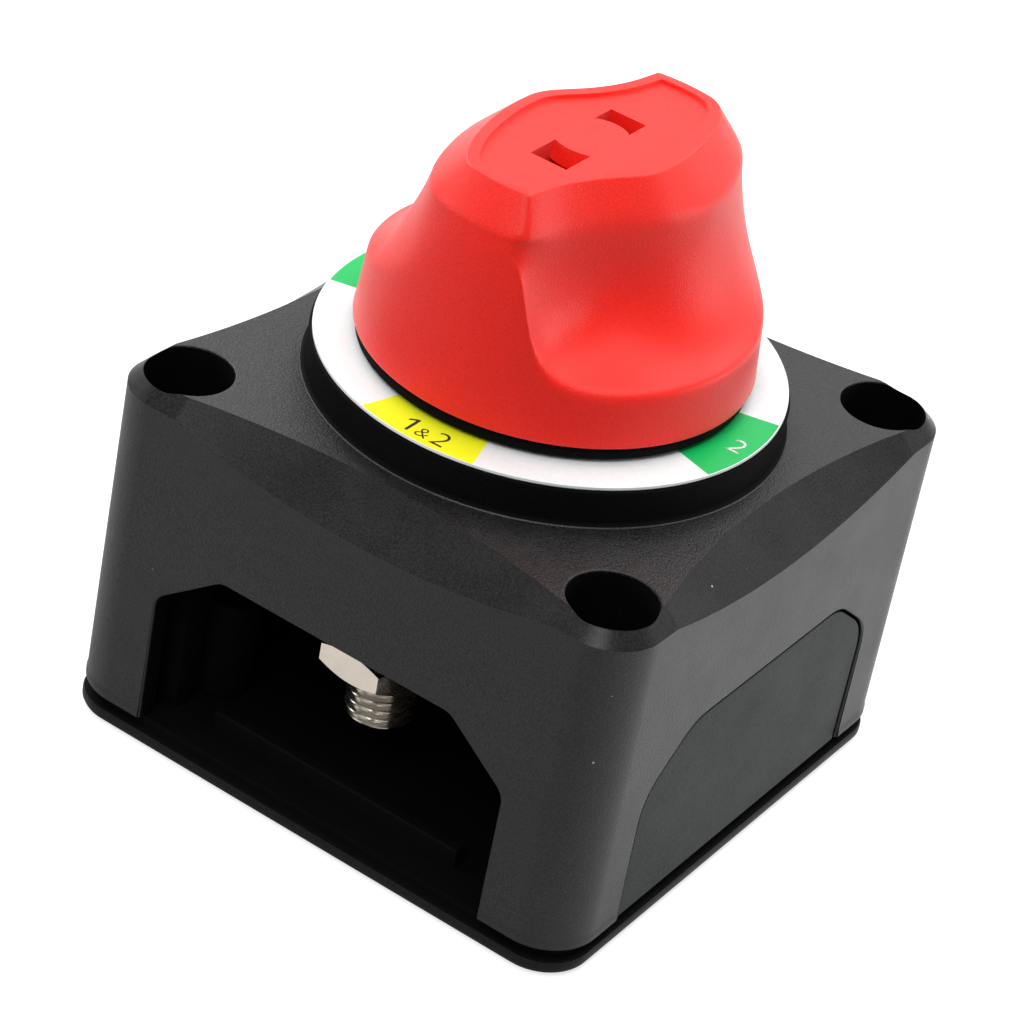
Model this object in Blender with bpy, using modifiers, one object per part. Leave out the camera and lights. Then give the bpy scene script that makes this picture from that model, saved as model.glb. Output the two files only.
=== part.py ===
"""Four-position rotary battery switch for a boat: OFF, 1, 1&2 and 2.

A square moulded case with a round collar carries a red knob. Its rotor turns a sprung copper bridge over
three fixed contacts, each clamped by a threaded stud in the cable chamber below. Metres, +Z up. The origin
is under the middle of the rear cover, and the knob's axis is Z. The open cable window faces -Y.
"""

import math

import bmesh
import bpy
from mathutils import Matrix, Vector

# Fits and mesh fineness
CLEARANCE = 0.0003
LARGE_STEPS = 52
ROUND_STEPS = 32
MEDIUM_STEPS = 24
SMALL_STEPS = 12
CORNER_STEPS = 5
SIDE_STEPS = 8

# Case
CASE_SIDE = 0.0692
CASE_HEIGHT = 0.0418
CASE_CORNER_RADIUS = 0.0062
WALL = 0.0026
TOP_WALL = 0.0030
UPPER_WALL = 0.0054
UPPER_CHAMBER_HEIGHT = 0.0055
EDGE_LIP = 0.0004
EDGE_LIP_HEIGHT = 0.0012
EDGE_SCOOP = 0.0051
EDGE_SCOOP_CORNER = 0.0020
EDGE_SCOOP_LENGTH = 0.0500
COLLAR_RADIUS = 0.0270
COLLAR_HEIGHT = 0.0044
COLLAR_POCKET_RADIUS = 0.0190
COLLAR_POCKET_WEB = 0.0030
BUSH_WALL = 0.0032

# Rear cover and the shadow gap above it
COVER_THICKNESS = 0.0022
COVER_CORNER_RADIUS = 0.0058
COVER_PLATFORM = 0.0012
COVER_PLATFORM_INSET = 0.0012
COVER_RIM_HEIGHT = 0.0024
COVER_RIM_THICKNESS = 0.0016
COVER_RIM_LENGTH = 0.0340

# Corner fixing holes for the user's own screws
FIXING_INSET = 0.00645
FIXING_BORE = 0.0100
FIXING_BORE_DEPTH = 0.0140
FIXING_HOLE = 0.0060
PILLAR_RADIUS = 0.0060

# Cable windows and their slide-in panels
WINDOW_JAMB = 0.0109
WINDOW_SLOPE_WIDTH = 0.0082
WINDOW_SLOPE_HEIGHT = 0.0063
WINDOW_CORNER_RADIUS = 0.0030
PANEL_TONGUE = 0.0014
PANEL_TONGUE_THICKNESS = 0.0012
TONGUE_RELIEF = 0.0002

# Screws
SCREW_RADIUS = 0.00145
SCREW_HEAD_RADIUS = 0.0027
SCREW_HEAD_HEIGHT = 0.0018
COVER_SCREW_INSET = 0.0126
COVER_SCREW_LENGTH = 0.0130
COVER_BOSS_RADIUS = 0.0034
COVER_BOSS_HEIGHT = 0.0125
CARRIER_SCREW_PITCH = 0.0330
CARRIER_SCREW_LENGTH = 0.0110
CARRIER_POST_RADIUS = 0.0032

# Contact carrier, fixed contacts and terminals
CARRIER_THICKNESS = 0.0032
CONTACT_THICKNESS = 0.0020
TRACK_WIDTH = 0.0050
TRACK_MARGIN = 0.0008
TRACK_START_DEG = 155.0
TRACK_END_DEG = 243.0
TRACK_STRAP_WIDTH = 0.0100
COMMON_RADIUS = 0.0070
COMMON_STRAP_WIDTH = 0.0080
EAR_RADIUS = 0.0070
STUD_RADIUS = 0.00476
STUD_HEAD_RADIUS = 0.0058
STUD_HEAD_HEIGHT = 0.0026
STUD_TIP_CHAMFER = 0.0008
STUD_LENGTH = 0.0193
WASHER_RADIUS = 0.0073
WASHER_THICKNESS = 0.0021
NUT_ACROSS_FLATS = 0.0143
NUT_HEIGHT = 0.0048
NUT_FACE_RADIUS = 0.0068

# Rotor, sliding bridge and their spring
ROTOR_RADIUS = 0.0175
ROTOR_THICKNESS = 0.0050
SHAFT_RADIUS = 0.0080
SHAFT_SQUARE = 0.0110
SHAFT_SQUARE_HEIGHT = 0.0096
SNAP_WIDTH = 0.0038
SNAP_FRONT_ARM = (0.0042, 0.0055)
SNAP_FRONT_NOSE = 0.0076
SNAP_BACK_ARM = (0.0039, 0.0050)
SNAP_BACK_NOSE = 0.0059
SNAP_NOSE_HEIGHT = 0.0018
NOTCH_RADIUS = 0.0026
NOTCH_DEPTH = 0.0007
PEG_RADIUS = 0.0016
PEG_MARGIN = 0.0047
PEG_SPREAD_DEG = 18.0
PEG_LENGTH = 0.0040
BRIDGE_THICKNESS = 0.0018
BRIDGE_HUB_RADIUS = 0.0065
BRIDGE_END_GAP = 0.0009
BRIDGE_HEADROOM = 0.0028
BRIDGE_HALF_DEG = 34.0
SPRING_RADIUS = 0.0046
SPRING_WIRE_RADIUS = 0.0005
SPRING_TURNS = 2.5
SPRING_POCKET_RADIUS = 0.0062
SPRING_POCKET_DEPTH = 0.0025
RING_GROOVE_DEPTH = 0.0011
RING_SECTION_RADIUS = 0.0006
RING_SEAT = 0.0001
RING_DEPTH = 0.0040

# Detents: two sprung plungers that drop into four rotor notches
PLUNGER_RADIUS = 0.0020
PLUNGER_LENGTH = 0.0070
PLUNGER_RIDE = 0.00012
DETENT_BLOCK_WIDTH = 0.0084
DETENT_BLOCK_FLOOR = 0.0014
DETENT_SPRING_LENGTH = 0.0053
DETENT_SPRING_RADIUS = 0.0014
DETENT_WIRE_RADIUS = 0.0003
DETENT_SPRING_TURNS = 3.5

# Dial, base ring and knob
LABEL_RADIUS = 0.0267
LABEL_HOLE_RADIUS = 0.0120
LABEL_THICKNESS = 0.0003
LABEL_SEAT = 0.0001
BASE_RING_RADIUS = 0.0221
BASE_RING_THICKNESS = 0.0013
BASE_RING_RISE = 0.0004
KNOB_RADIUS = 0.0226
KNOB_HEIGHT = 0.0257
KNOB_BAND_HEIGHT = 0.0042
KNOB_BEVEL_HEIGHT = 0.0040
KNOB_BEVEL_WIDTH = 0.0030
KNOB_WALL = 0.0024
KNOB_ROOF = 0.0080
KNOB_TUBE_RADIUS = 0.0095
GRIP_LENGTH = 0.0356
GRIP_NARROW = 0.0040
GRIP_FLANK = 0.0049
GRIP_WAIST = 0.0086
GRIP_WIDE = 0.0092
GRIP_SHOULDER = 0.0082
GRIP_END = 0.0048
PANEL_INSET = 0.0013
PANEL_DEPTH = 0.0004
SNAP_WINDOW_WIDTH = 0.0046
SNAP_WINDOW_FRONT = (0.0049, 0.0091)
SNAP_WINDOW_BACK = (0.0038, 0.0064)
SNAP_LEDGE = 0.0016

# Heights of the stack, worked out from the sizes above
CASE_HALF = CASE_SIDE / 2
CASE_BOTTOM_Z = COVER_THICKNESS + COVER_PLATFORM + CLEARANCE
CASE_TOP_Z = CASE_BOTTOM_Z + CASE_HEIGHT
CEILING_Z = CASE_TOP_Z - TOP_WALL
COLLAR_TOP_Z = CASE_TOP_Z + COLLAR_HEIGHT
ROTOR_TOP_Z = CEILING_Z - CLEARANCE
ROTOR_Z = ROTOR_TOP_Z - ROTOR_THICKNESS
DETENT_Z = ROTOR_Z + ROTOR_THICKNESS / 2
BRIDGE_TOP_Z = ROTOR_Z - BRIDGE_HEADROOM
BRIDGE_Z = BRIDGE_TOP_Z - BRIDGE_THICKNESS
CONTACT_TOP_Z = BRIDGE_Z - CLEARANCE
CONTACT_Z = CONTACT_TOP_Z - CONTACT_THICKNESS
CARRIER_TOP_Z = CONTACT_Z - CLEARANCE
CARRIER_Z = CARRIER_TOP_Z - CARRIER_THICKNESS
WASHER_Z = CARRIER_Z - CLEARANCE - WASHER_THICKNESS
NUT_Z = WASHER_Z - CLEARANCE - NUT_HEIGHT
WINDOW_TOP_Z = CARRIER_Z
LABEL_Z = COLLAR_TOP_Z + LABEL_SEAT
BASE_RING_Z = LABEL_Z + LABEL_THICKNESS + BASE_RING_RISE
KNOB_Z = BASE_RING_Z + BASE_RING_THICKNESS + CLEARANCE
KNOB_TOP_Z = KNOB_Z + KNOB_HEIGHT
SHAFT_TOP_Z = COLLAR_TOP_Z + LABEL_SEAT + LABEL_THICKNESS
SQUARE_TOP_Z = SHAFT_TOP_Z + SHAFT_SQUARE_HEIGHT
SOCKET_TOP_Z = KNOB_TOP_Z - KNOB_ROOF
SNAP_SEAT_Z = SOCKET_TOP_Z + SNAP_LEDGE

# Places across the case, worked out from its side
INNER_HALF = CASE_HALF - WALL
WINDOW_HALF = CASE_HALF - WINDOW_JAMB
TONGUE_NEAR = INNER_HALF - CLEARANCE - PANEL_TONGUE_THICKNESS
TONGUE_BACK = TONGUE_NEAR - 2 * CLEARANCE
STUD_OFFSET = TONGUE_NEAR - CLEARANCE - WASHER_RADIUS
BRIDGE_REACH = STUD_OFFSET - STUD_HEAD_RADIUS - BRIDGE_END_GAP
PEG_CIRCLE_RADIUS = BRIDGE_REACH - PEG_MARGIN
TRACK_OUTER_RADIUS = BRIDGE_REACH + TRACK_MARGIN
TRACK_INNER_RADIUS = TRACK_OUTER_RADIUS - TRACK_WIDTH
FIXING_HALF = CASE_HALF - FIXING_INSET
COVER_SCREW_HALF = CASE_HALF - COVER_SCREW_INSET
CARRIER_SCREW_HALF = CARRIER_SCREW_PITCH / 2
QUARTERS = ((1, 1), (-1, 1), (-1, -1), (1, -1))


# Scene and materials


def clear_scene():
    for item in list(bpy.data.objects):
        bpy.data.objects.remove(item, do_unlink=True)


def new_collection(name):
    made = bpy.data.collections.new(name)
    bpy.context.scene.collection.children.link(made)
    return made


def plain_material(name, colour, roughness, metallic=0.0):
    made = bpy.data.materials.new(name)
    made.use_nodes = True
    shader = made.node_tree.nodes["Principled BSDF"]
    shader.inputs["Base Color"].default_value = (*colour, 1.0)
    shader.inputs["Roughness"].default_value = roughness
    shader.inputs["Metallic"].default_value = metallic
    return made


def add_mesh_object(name, bm):
    """A mesh object from a bmesh, in the collection of helpers until finish() takes it."""
    bmesh.ops.recalc_face_normals(bm, faces=bm.faces)
    mesh = bpy.data.meshes.new(name)
    bm.to_mesh(mesh)
    bm.free()
    made = bpy.data.objects.new(name, mesh)
    HELPERS.objects.link(made)
    made.hide_render = True
    made.display_type = "WIRE"
    return made


def finish(item, material, parent=None):
    """Moves a shape from the helpers to the switch, with its material and its parent."""
    HELPERS.objects.unlink(item)
    SWITCH.objects.link(item)
    item.hide_render = False
    item.display_type = "TEXTURED"
    item.data.materials.clear()
    item.data.materials.append(material)
    if parent is not None:
        item.parent = parent
        item.matrix_parent_inverse = parent.matrix_basis.inverted()
    return item


def add_empty(name, place):
    made = bpy.data.objects.new(name, None)
    made.empty_display_size = 0.01
    made.location = place
    SWITCH.objects.link(made)
    return made


# Outlines in the plane


def arc(x, y, radius, start_deg, end_deg, steps):
    """Points along an arc, both ends included."""
    turns = [start_deg + (end_deg - start_deg) * i / steps for i in range(steps + 1)]
    return [
        (x + radius * math.cos(math.radians(t)), y + radius * math.sin(math.radians(t)))
        for t in turns
    ]


def circle(x, y, radius, steps=ROUND_STEPS):
    return arc(x, y, radius, 0, 360, steps)[:-1]


def rounded_square(half, radius):
    points = []
    for turn, (sx, sy) in zip((0, 90, 180, 270), QUARTERS):
        x, y = sx * (half - radius), sy * (half - radius)
        points += arc(x, y, radius, turn, turn + 90, CORNER_STEPS)
    return points


def rounded_polygon(corners, radius):
    """The corners, each cut by a short arc of about this radius. A radius of 0 keeps the corner."""
    points = []
    count = len(corners)
    for i, (corner, size) in enumerate(zip(corners, radius)):
        here = Vector(corner)
        if size == 0:
            points.append(tuple(here))
            continue
        back = (Vector(corners[i - 1]) - here).normalized()
        ahead = (Vector(corners[(i + 1) % count]) - here).normalized()
        reach = size / math.tan(back.angle(ahead) / 2)
        start, end = here + back * reach, here + ahead * reach
        for step in range(CORNER_STEPS + 1):
            t = step / CORNER_STEPS
            point = start * (1 - t) ** 2 + here * (2 * t * (1 - t)) + end * t**2
            points.append(tuple(point))
    return points


def window_outline(grow, drop=0.0):
    """The cable window as (along, height) points, its edge moved out by grow and its foot down by drop."""
    half = WINDOW_HALF + grow
    shoulder = WINDOW_TOP_Z - WINDOW_SLOPE_HEIGHT + grow / 2
    top_half = WINDOW_HALF - WINDOW_SLOPE_WIDTH + grow / 2
    top = WINDOW_TOP_Z + grow
    foot = CASE_BOTTOM_Z - drop
    right = [(half, foot), (half, shoulder), (top_half, top)]
    left = [(-along, height) for along, height in reversed(right)]
    size = WINDOW_CORNER_RADIUS
    return rounded_polygon([*right, *left], (0, size, size, size, size, 0))


# Solids


def prism(name, loops, low, high):
    """An upright plate from closed outlines: the first is the edge and the others are holes."""
    curve = bpy.data.curves.new(name, "CURVE")
    curve.dimensions = "2D"
    curve.fill_mode = "BOTH"
    curve.extrude = (high - low) / 2
    for loop in loops:
        spline = curve.splines.new("POLY")
        spline.points.add(len(loop) - 1)
        for point, (x, y) in zip(spline.points, loop):
            point.co = (x, y, 0.0, 1.0)
        spline.use_cyclic_u = True
    guide = bpy.data.objects.new(name + "_guide", curve)
    HELPERS.objects.link(guide)
    graph = bpy.context.evaluated_depsgraph_get()
    mesh = bpy.data.meshes.new_from_object(guide.evaluated_get(graph))
    bm = bmesh.new()
    bm.from_mesh(mesh)
    bmesh.ops.remove_doubles(bm, verts=bm.verts, dist=1e-6)
    bmesh.ops.translate(bm, verts=bm.verts, vec=(0, 0, (low + high) / 2))
    bpy.data.objects.remove(guide)
    bpy.data.curves.remove(curve)
    bpy.data.meshes.remove(mesh)
    return add_mesh_object(name, bm)


def standing_prism(name, loop, near, far, quarter):
    """A plate whose outline is (along, height), standing between two distances out from the axis.

    Quarter 0 stands on the -Y side, and each further quarter is a quarter turn anticlockwise.
    """
    made = prism(name, [loop], near, far)
    upright = Matrix.Rotation(math.radians(90), 4, "X")
    turned_by = Matrix.Rotation(math.radians(90 * quarter), 4, "Z")
    made.data.transform(turned_by @ upright)
    return made


def block(name, low, high):
    """A box between two corners."""
    bm = bmesh.new()
    size = [b - a for a, b in zip(low, high)]
    middle = [(a + b) / 2 for a, b in zip(low, high)]
    bmesh.ops.create_cube(bm, matrix=Matrix.Translation(middle) @ Matrix.Diagonal((*size, 1.0)))
    return add_mesh_object(name, bm)


def posts(name, radius, low, high, places, steps=SMALL_STEPS):
    """Upright cylinders of one size that stand clear of each other."""
    bm = bmesh.new()
    for x, y in places:
        bmesh.ops.create_cone(
            bm,
            cap_ends=True,
            segments=steps,
            radius1=radius,
            radius2=radius,
            depth=high - low,
            matrix=Matrix.Translation((x, y, (low + high) / 2)),
        )
    return add_mesh_object(name, bm)


def turned(name, profile, steps=ROUND_STEPS, ring=False):
    """A turned solid. The profile's (radius, height) points run down its outer side, top to bottom."""
    mesh = bpy.data.meshes.new(name)
    edges = [(i, i + 1) for i in range(len(profile) - 1)]
    if ring:
        edges.append((len(profile) - 1, 0))
    mesh.from_pydata([(r, 0.0, z) for r, z in profile], edges, [])
    made = bpy.data.objects.new(name, mesh)
    HELPERS.objects.link(made)
    made.hide_render = True
    made.display_type = "WIRE"
    screw = made.modifiers.new("Turn", "SCREW")
    screw.axis = "Z"
    screw.steps = steps
    screw.render_steps = steps
    screw.use_merge_vertices = True
    screw.merge_threshold = 1e-5
    return made


def cylinder_profile(radius, low, high, chamfer=0.0):
    points = [(0.0, high), (radius, high), (radius, low + chamfer)]
    if chamfer:
        points.append((radius - chamfer, low))
    return points + [(0.0, low)]


def loft(name, rings):
    """A closed skin through rings of equal count, lowest first, with a flat cap on each end."""
    bm = bmesh.new()
    layers = [[bm.verts.new(point) for point in ring] for ring in rings]
    count = len(layers[0])
    for low, high in zip(layers, layers[1:]):
        for i in range(count):
            j = (i + 1) % count
            bm.faces.new((low[i], low[j], high[j], high[i]))
    bm.faces.new(list(reversed(layers[0])))
    bm.faces.new(layers[-1])
    return add_mesh_object(name, bm)


def coil(name, radius, wire_radius, length, turns):
    """An open coil spring standing on z = 0, one unbroken tube with a flat lead at each end."""
    points_per_turn = 8
    count = int(turns * points_per_turn) + 1
    rise = length - 2 * wire_radius
    curve = bpy.data.curves.new(name, "CURVE")
    curve.dimensions = "3D"
    curve.bevel_depth = wire_radius
    curve.bevel_resolution = 1
    curve.use_fill_caps = True
    spline = curve.splines.new("POLY")
    spline.points.add(count - 1)
    for i, point in enumerate(spline.points):
        angle = 2 * math.pi * i / points_per_turn
        height = wire_radius + rise * i / (count - 1)
        point.co = (radius * math.cos(angle), radius * math.sin(angle), height, 1.0)
    guide = bpy.data.objects.new(name + "_guide", curve)
    HELPERS.objects.link(guide)
    graph = bpy.context.evaluated_depsgraph_get()
    mesh = bpy.data.meshes.new_from_object(guide.evaluated_get(graph))
    bm = bmesh.new()
    bm.from_mesh(mesh)
    bmesh.ops.remove_doubles(bm, verts=bm.verts, dist=1e-6)
    bpy.data.objects.remove(guide)
    bpy.data.curves.remove(curve)
    bpy.data.meshes.remove(mesh)
    print(f"{name}: least gap between turns {1000 * (rise / turns - 2 * wire_radius):.2f} mm")
    return add_mesh_object(name, bm)


def combine(target, operation, other):
    step = target.modifiers.new(f"{operation.title()} {other.name}", "BOOLEAN")
    step.operation = operation
    step.solver = "EXACT"
    step.object = other


def join(target, *others):
    for other in others:
        combine(target, "UNION", other)


def cut(target, *others):
    for other in others:
        combine(target, "DIFFERENCE", other)


def corners(half):
    return [(sx * half, sy * half) for sx, sy in QUARTERS]


# Case


def edge_scoop(along):
    """Depth of the sloped top edge at a place along a side: deepest in the middle of the side."""
    share = min(1.0, abs(along) / (EDGE_SCOOP_LENGTH / 2))
    return EDGE_SCOOP_CORNER + (EDGE_SCOOP - EDGE_SCOOP_CORNER) * (1 - share**2)


def case_ring(outset, height, scooped=False):
    """One ring of the case's outside. A scooped ring is drawn in, or let down, by the sloped edge."""
    straight = CASE_HALF - CASE_CORNER_RADIUS
    side = [(-straight + 2 * straight * i / SIDE_STEPS, -90.0) for i in range(SIDE_STEPS + 1)]
    ring = []
    for quarter in range(4):
        turn = Matrix.Rotation(math.radians(90 * quarter), 3, "Z")
        for along, _ in side:
            drop = edge_scoop(along)
            inset = drop if scooped == "in" else 0.0
            fall = drop if scooped == "down" else 0.0
            ring.append(turn @ Vector((along, -CASE_HALF - outset + inset, height - fall)))
        drop = EDGE_SCOOP_CORNER
        inset = drop if scooped == "in" else 0.0
        fall = drop if scooped == "down" else 0.0
        radius = CASE_CORNER_RADIUS + outset - inset
        for x, y in arc(straight, -straight, radius, -90, 0, CORNER_STEPS)[1:-1]:
            ring.append(turn @ Vector((x, y, height - fall)))
    return ring


def case_shell():
    lip_top = CASE_BOTTOM_Z + EDGE_LIP_HEIGHT
    return loft(
        "case",
        [
            case_ring(EDGE_LIP, CASE_BOTTOM_Z),
            case_ring(EDGE_LIP, lip_top),
            case_ring(0.0, lip_top + EDGE_LIP),
            case_ring(0.0, CASE_TOP_Z, "down"),
            case_ring(0.0, CASE_TOP_Z, "in"),
        ],
    )


def detent_blocks():
    """Blocks under the ceiling, front and back, that hold the detent plungers."""
    inner = ROTOR_RADIUS + PLUNGER_RADIUS
    outer = INNER_HALF - CLEARANCE
    floor = DETENT_Z - PLUNGER_RADIUS - CLEARANCE - DETENT_BLOCK_FLOOR
    half = DETENT_BLOCK_WIDTH / 2
    made = []
    for side, (near, far) in (("front", (-outer, -inner)), ("back", (inner, outer))):
        roof = CEILING_Z + TOP_WALL / 8
        made.append(block(f"detent_block_{side}", (-half, near, floor), (half, far, roof)))
    return made


def detent_bore(side, quarter):
    depth = plunger_back() + CLEARANCE + DETENT_SPRING_LENGTH + CLEARANCE
    radius = PLUNGER_RADIUS + CLEARANCE
    bore = posts(f"detent_bore_{side}", radius, ROTOR_RADIUS, depth, [(0.0, 0.0)])
    lay_outwards(bore, quarter)
    return bore


def lay_outwards(item, quarter):
    """Turns a piece that stands on the axis so that its +Z points out at detent height."""
    upright = Matrix.Rotation(math.radians(90), 4, "X")
    turned_by = Matrix.Rotation(math.radians(90 * quarter), 4, "Z")
    item.matrix_world = Matrix.Translation((0, 0, DETENT_Z)) @ turned_by @ upright


def plunger_tip():
    return ROTOR_RADIUS + PLUNGER_RIDE


def plunger_back():
    return plunger_tip() + PLUNGER_LENGTH


def build_housing():
    housing = case_shell()
    housing.name = "housing"
    low = CASE_BOTTOM_Z - TOP_WALL
    shoulder = CEILING_Z - UPPER_CHAMBER_HEIGHT
    inner_radius = CASE_CORNER_RADIUS - WALL
    upper_half = CASE_HALF - UPPER_WALL
    cut(
        housing,
        prism("chamber", [rounded_square(INNER_HALF, inner_radius)], low, shoulder),
        prism("upper_chamber", [rounded_square(upper_half, inner_radius)], shoulder - WALL, CEILING_Z),
    )
    pillar_top = CASE_TOP_Z - EDGE_SCOOP_CORNER - TOP_WALL / 6
    post_low = CARRIER_TOP_Z + CLEARANCE
    collar = cylinder_profile(COLLAR_RADIUS, CASE_TOP_Z - TOP_WALL / 3, COLLAR_TOP_Z)
    join(
        housing,
        posts("pillars", PILLAR_RADIUS, CASE_BOTTOM_Z, pillar_top, corners(FIXING_HALF), MEDIUM_STEPS),
        posts(
            "cover_bosses",
            COVER_BOSS_RADIUS,
            CASE_BOTTOM_Z,
            CASE_BOTTOM_Z + COVER_BOSS_HEIGHT,
            corners(COVER_SCREW_HALF),
        ),
        posts(
            "carrier_posts",
            CARRIER_POST_RADIUS,
            post_low,
            CEILING_Z + TOP_WALL / 3,
            corners(CARRIER_SCREW_HALF),
        ),
        turned("collar", collar, LARGE_STEPS),
        *detent_blocks(),
    )
    bush = SHAFT_RADIUS + CLEARANCE + BUSH_WALL
    pocket_top = COLLAR_TOP_Z - COLLAR_POCKET_WEB
    pocket = [
        (COLLAR_POCKET_RADIUS, pocket_top),
        (COLLAR_POCKET_RADIUS, CEILING_Z - CLEARANCE),
        (bush, CEILING_Z - CLEARANCE),
        (bush, pocket_top),
    ]
    screw_hole = SCREW_RADIUS + CLEARANCE
    cut(
        housing,
        turned("collar_pocket", pocket, ring=True),
        posts(
            "shaft_bore",
            SHAFT_RADIUS + CLEARANCE,
            CEILING_Z - TOP_WALL,
            COLLAR_TOP_Z + TOP_WALL,
            [(0.0, 0.0)],
            ROUND_STEPS,
        ),
        posts(
            "fixing_bores",
            FIXING_BORE / 2,
            CASE_TOP_Z - FIXING_BORE_DEPTH,
            CASE_TOP_Z + TOP_WALL,
            corners(FIXING_HALF),
            MEDIUM_STEPS,
        ),
        posts(
            "fixing_holes",
            FIXING_HOLE / 2,
            low,
            CASE_TOP_Z - TOP_WALL,
            corners(FIXING_HALF),
            MEDIUM_STEPS,
        ),
        posts(
            "cover_pilots",
            screw_hole,
            low,
            COVER_SCREW_LENGTH + CLEARANCE,
            corners(COVER_SCREW_HALF),
        ),
        posts(
            "carrier_pilots",
            screw_hole,
            post_low - CLEARANCE,
            CARRIER_Z + CARRIER_SCREW_LENGTH + CLEARANCE,
            corners(CARRIER_SCREW_HALF),
        ),
        detent_bore("front", 0),
        detent_bore("back", 2),
    )
    opening = window_outline(0.0, TOP_WALL)
    slot = window_outline(PANEL_TONGUE + CLEARANCE, TOP_WALL)
    for quarter in range(4):
        far = CASE_HALF + EDGE_LIP + WALL
        cut(
            housing,
            standing_prism(f"window_{quarter}", opening, INNER_HALF - CLEARANCE, far, quarter),
            standing_prism(f"tongue_slot_{quarter}", slot, TONGUE_BACK, INNER_HALF + TONGUE_RELIEF, quarter),
        )
    return finish(housing, BLACK_PLASTIC)


# Rear cover, panels and screws


def build_rear_cover():
    plate = rounded_square(CASE_HALF, COVER_CORNER_RADIUS)
    cover = prism("rear_cover", [plate], 0.0, COVER_THICKNESS)
    top = COVER_THICKNESS + COVER_PLATFORM
    inset = CASE_HALF - COVER_PLATFORM_INSET
    platform = prism(
        "cover_platform",
        [rounded_square(inset, COVER_CORNER_RADIUS - COVER_PLATFORM_INSET)],
        COVER_THICKNESS / 2,
        top,
    )
    join(cover, platform)
    rim_far = TONGUE_BACK - CLEARANCE
    rim_near = rim_far - COVER_RIM_THICKNESS
    half = COVER_RIM_LENGTH / 2
    low, high = COVER_THICKNESS, top + COVER_RIM_HEIGHT
    outline = [(-half, low), (half, low), (half, high), (-half, high)]
    for quarter in range(4):
        join(cover, standing_prism(f"cover_rim_{quarter}", outline, rim_near, rim_far, quarter))
    below = -COVER_THICKNESS
    hole = SCREW_RADIUS + CLEARANCE
    head = SCREW_HEAD_RADIUS + CLEARANCE
    seat = SCREW_HEAD_HEIGHT + 2 * CLEARANCE
    cut(
        cover,
        posts(
            "cover_fixing_holes",
            FIXING_HOLE / 2,
            below,
            top + CLEARANCE,
            corners(FIXING_HALF),
            MEDIUM_STEPS,
        ),
        posts("cover_screw_holes", hole, below, top + CLEARANCE, corners(COVER_SCREW_HALF)),
        posts("cover_head_seats", head, below, seat, corners(COVER_SCREW_HALF)),
    )
    return finish(cover, BLACK_PLASTIC)


def build_panel(side, quarter):
    face = window_outline(-CLEARANCE)
    tongue = window_outline(PANEL_TONGUE)
    tongue_far = TONGUE_NEAR + PANEL_TONGUE_THICKNESS
    inside = TONGUE_NEAR + PANEL_TONGUE_THICKNESS / 2
    panel = standing_prism(f"panel_{side}", face, inside, CASE_HALF, quarter)
    join(panel, standing_prism(f"panel_{side}_tongue", tongue, TONGUE_NEAR, tongue_far, quarter))
    return finish(panel, PANEL_PLASTIC)


def build_screw(name, place, head_low, length):
    """A flat-headed thread-forming screw, head down, its tip this far above the head's underside."""
    head_top = head_low + SCREW_HEAD_HEIGHT
    tip = head_low + length
    profile = [
        (0.0, tip),
        (SCREW_RADIUS * 0.4, tip),
        (SCREW_RADIUS, tip - SCREW_RADIUS),
        (SCREW_RADIUS, head_top),
        (SCREW_HEAD_RADIUS, head_top),
        (SCREW_HEAD_RADIUS, head_low),
        (0.0, head_low),
    ]
    screw = turned(name, profile, SMALL_STEPS)
    screw.location = (*place, 0.0)
    return finish(screw, STEEL)


def build_screws():
    for number, place in enumerate(corners(COVER_SCREW_HALF), 1):
        build_screw(f"cover_screw_{number}", place, CLEARANCE, COVER_SCREW_LENGTH - CLEARANCE)
    head_low = CARRIER_Z - CLEARANCE - SCREW_HEAD_HEIGHT
    for number, place in enumerate(corners(CARRIER_SCREW_HALF), 1):
        length = CARRIER_SCREW_LENGTH + CARRIER_Z - head_low
        build_screw(f"carrier_screw_{number}", place, head_low, length)


# Contacts and terminals


def build_carrier():
    half = TONGUE_BACK - CLEARANCE
    reach = FIXING_HALF * math.sqrt(2) - PILLAR_RADIUS - CLEARANCE
    cut_back = reach * math.sqrt(2) - half
    outline = []
    for sx, sy in QUARTERS:
        pair = [(sx * half, sy * cut_back), (sx * cut_back, sy * half)]
        outline += pair if sx * sy > 0 else pair[::-1]
    holes = [circle(x, y, STUD_RADIUS + CLEARANCE, MEDIUM_STEPS) for x, y in stud_places().values()]
    holes += [circle(x, y, SCREW_RADIUS + CLEARANCE, SMALL_STEPS) for x, y in corners(CARRIER_SCREW_HALF)]
    return finish(prism("contact_carrier", [outline, *holes], CARRIER_Z, CARRIER_TOP_Z), CARRIER_PLASTIC)


def stud_places():
    return {"1": (-STUD_OFFSET, 0.0), "2": (STUD_OFFSET, 0.0), "common": (0.0, -STUD_OFFSET)}


def track_outline():
    """Battery 1's fixed contact: a track round the axis, with a strap out to the stud's ear."""
    strap = TRACK_STRAP_WIDTH / 2
    leave = math.degrees(math.asin(strap / TRACK_OUTER_RADIUS))
    open_deg = math.degrees(math.asin(strap / EAR_RADIUS))
    points = arc(0, 0, TRACK_INNER_RADIUS, TRACK_START_DEG, TRACK_END_DEG, 14)
    points += arc(0, 0, TRACK_OUTER_RADIUS, TRACK_END_DEG, 180 + leave, 10)
    points += arc(-STUD_OFFSET, 0, EAR_RADIUS, -open_deg, open_deg - 360, 24)
    points += arc(0, 0, TRACK_OUTER_RADIUS, 180 - leave, TRACK_START_DEG, 2)
    return points


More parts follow.
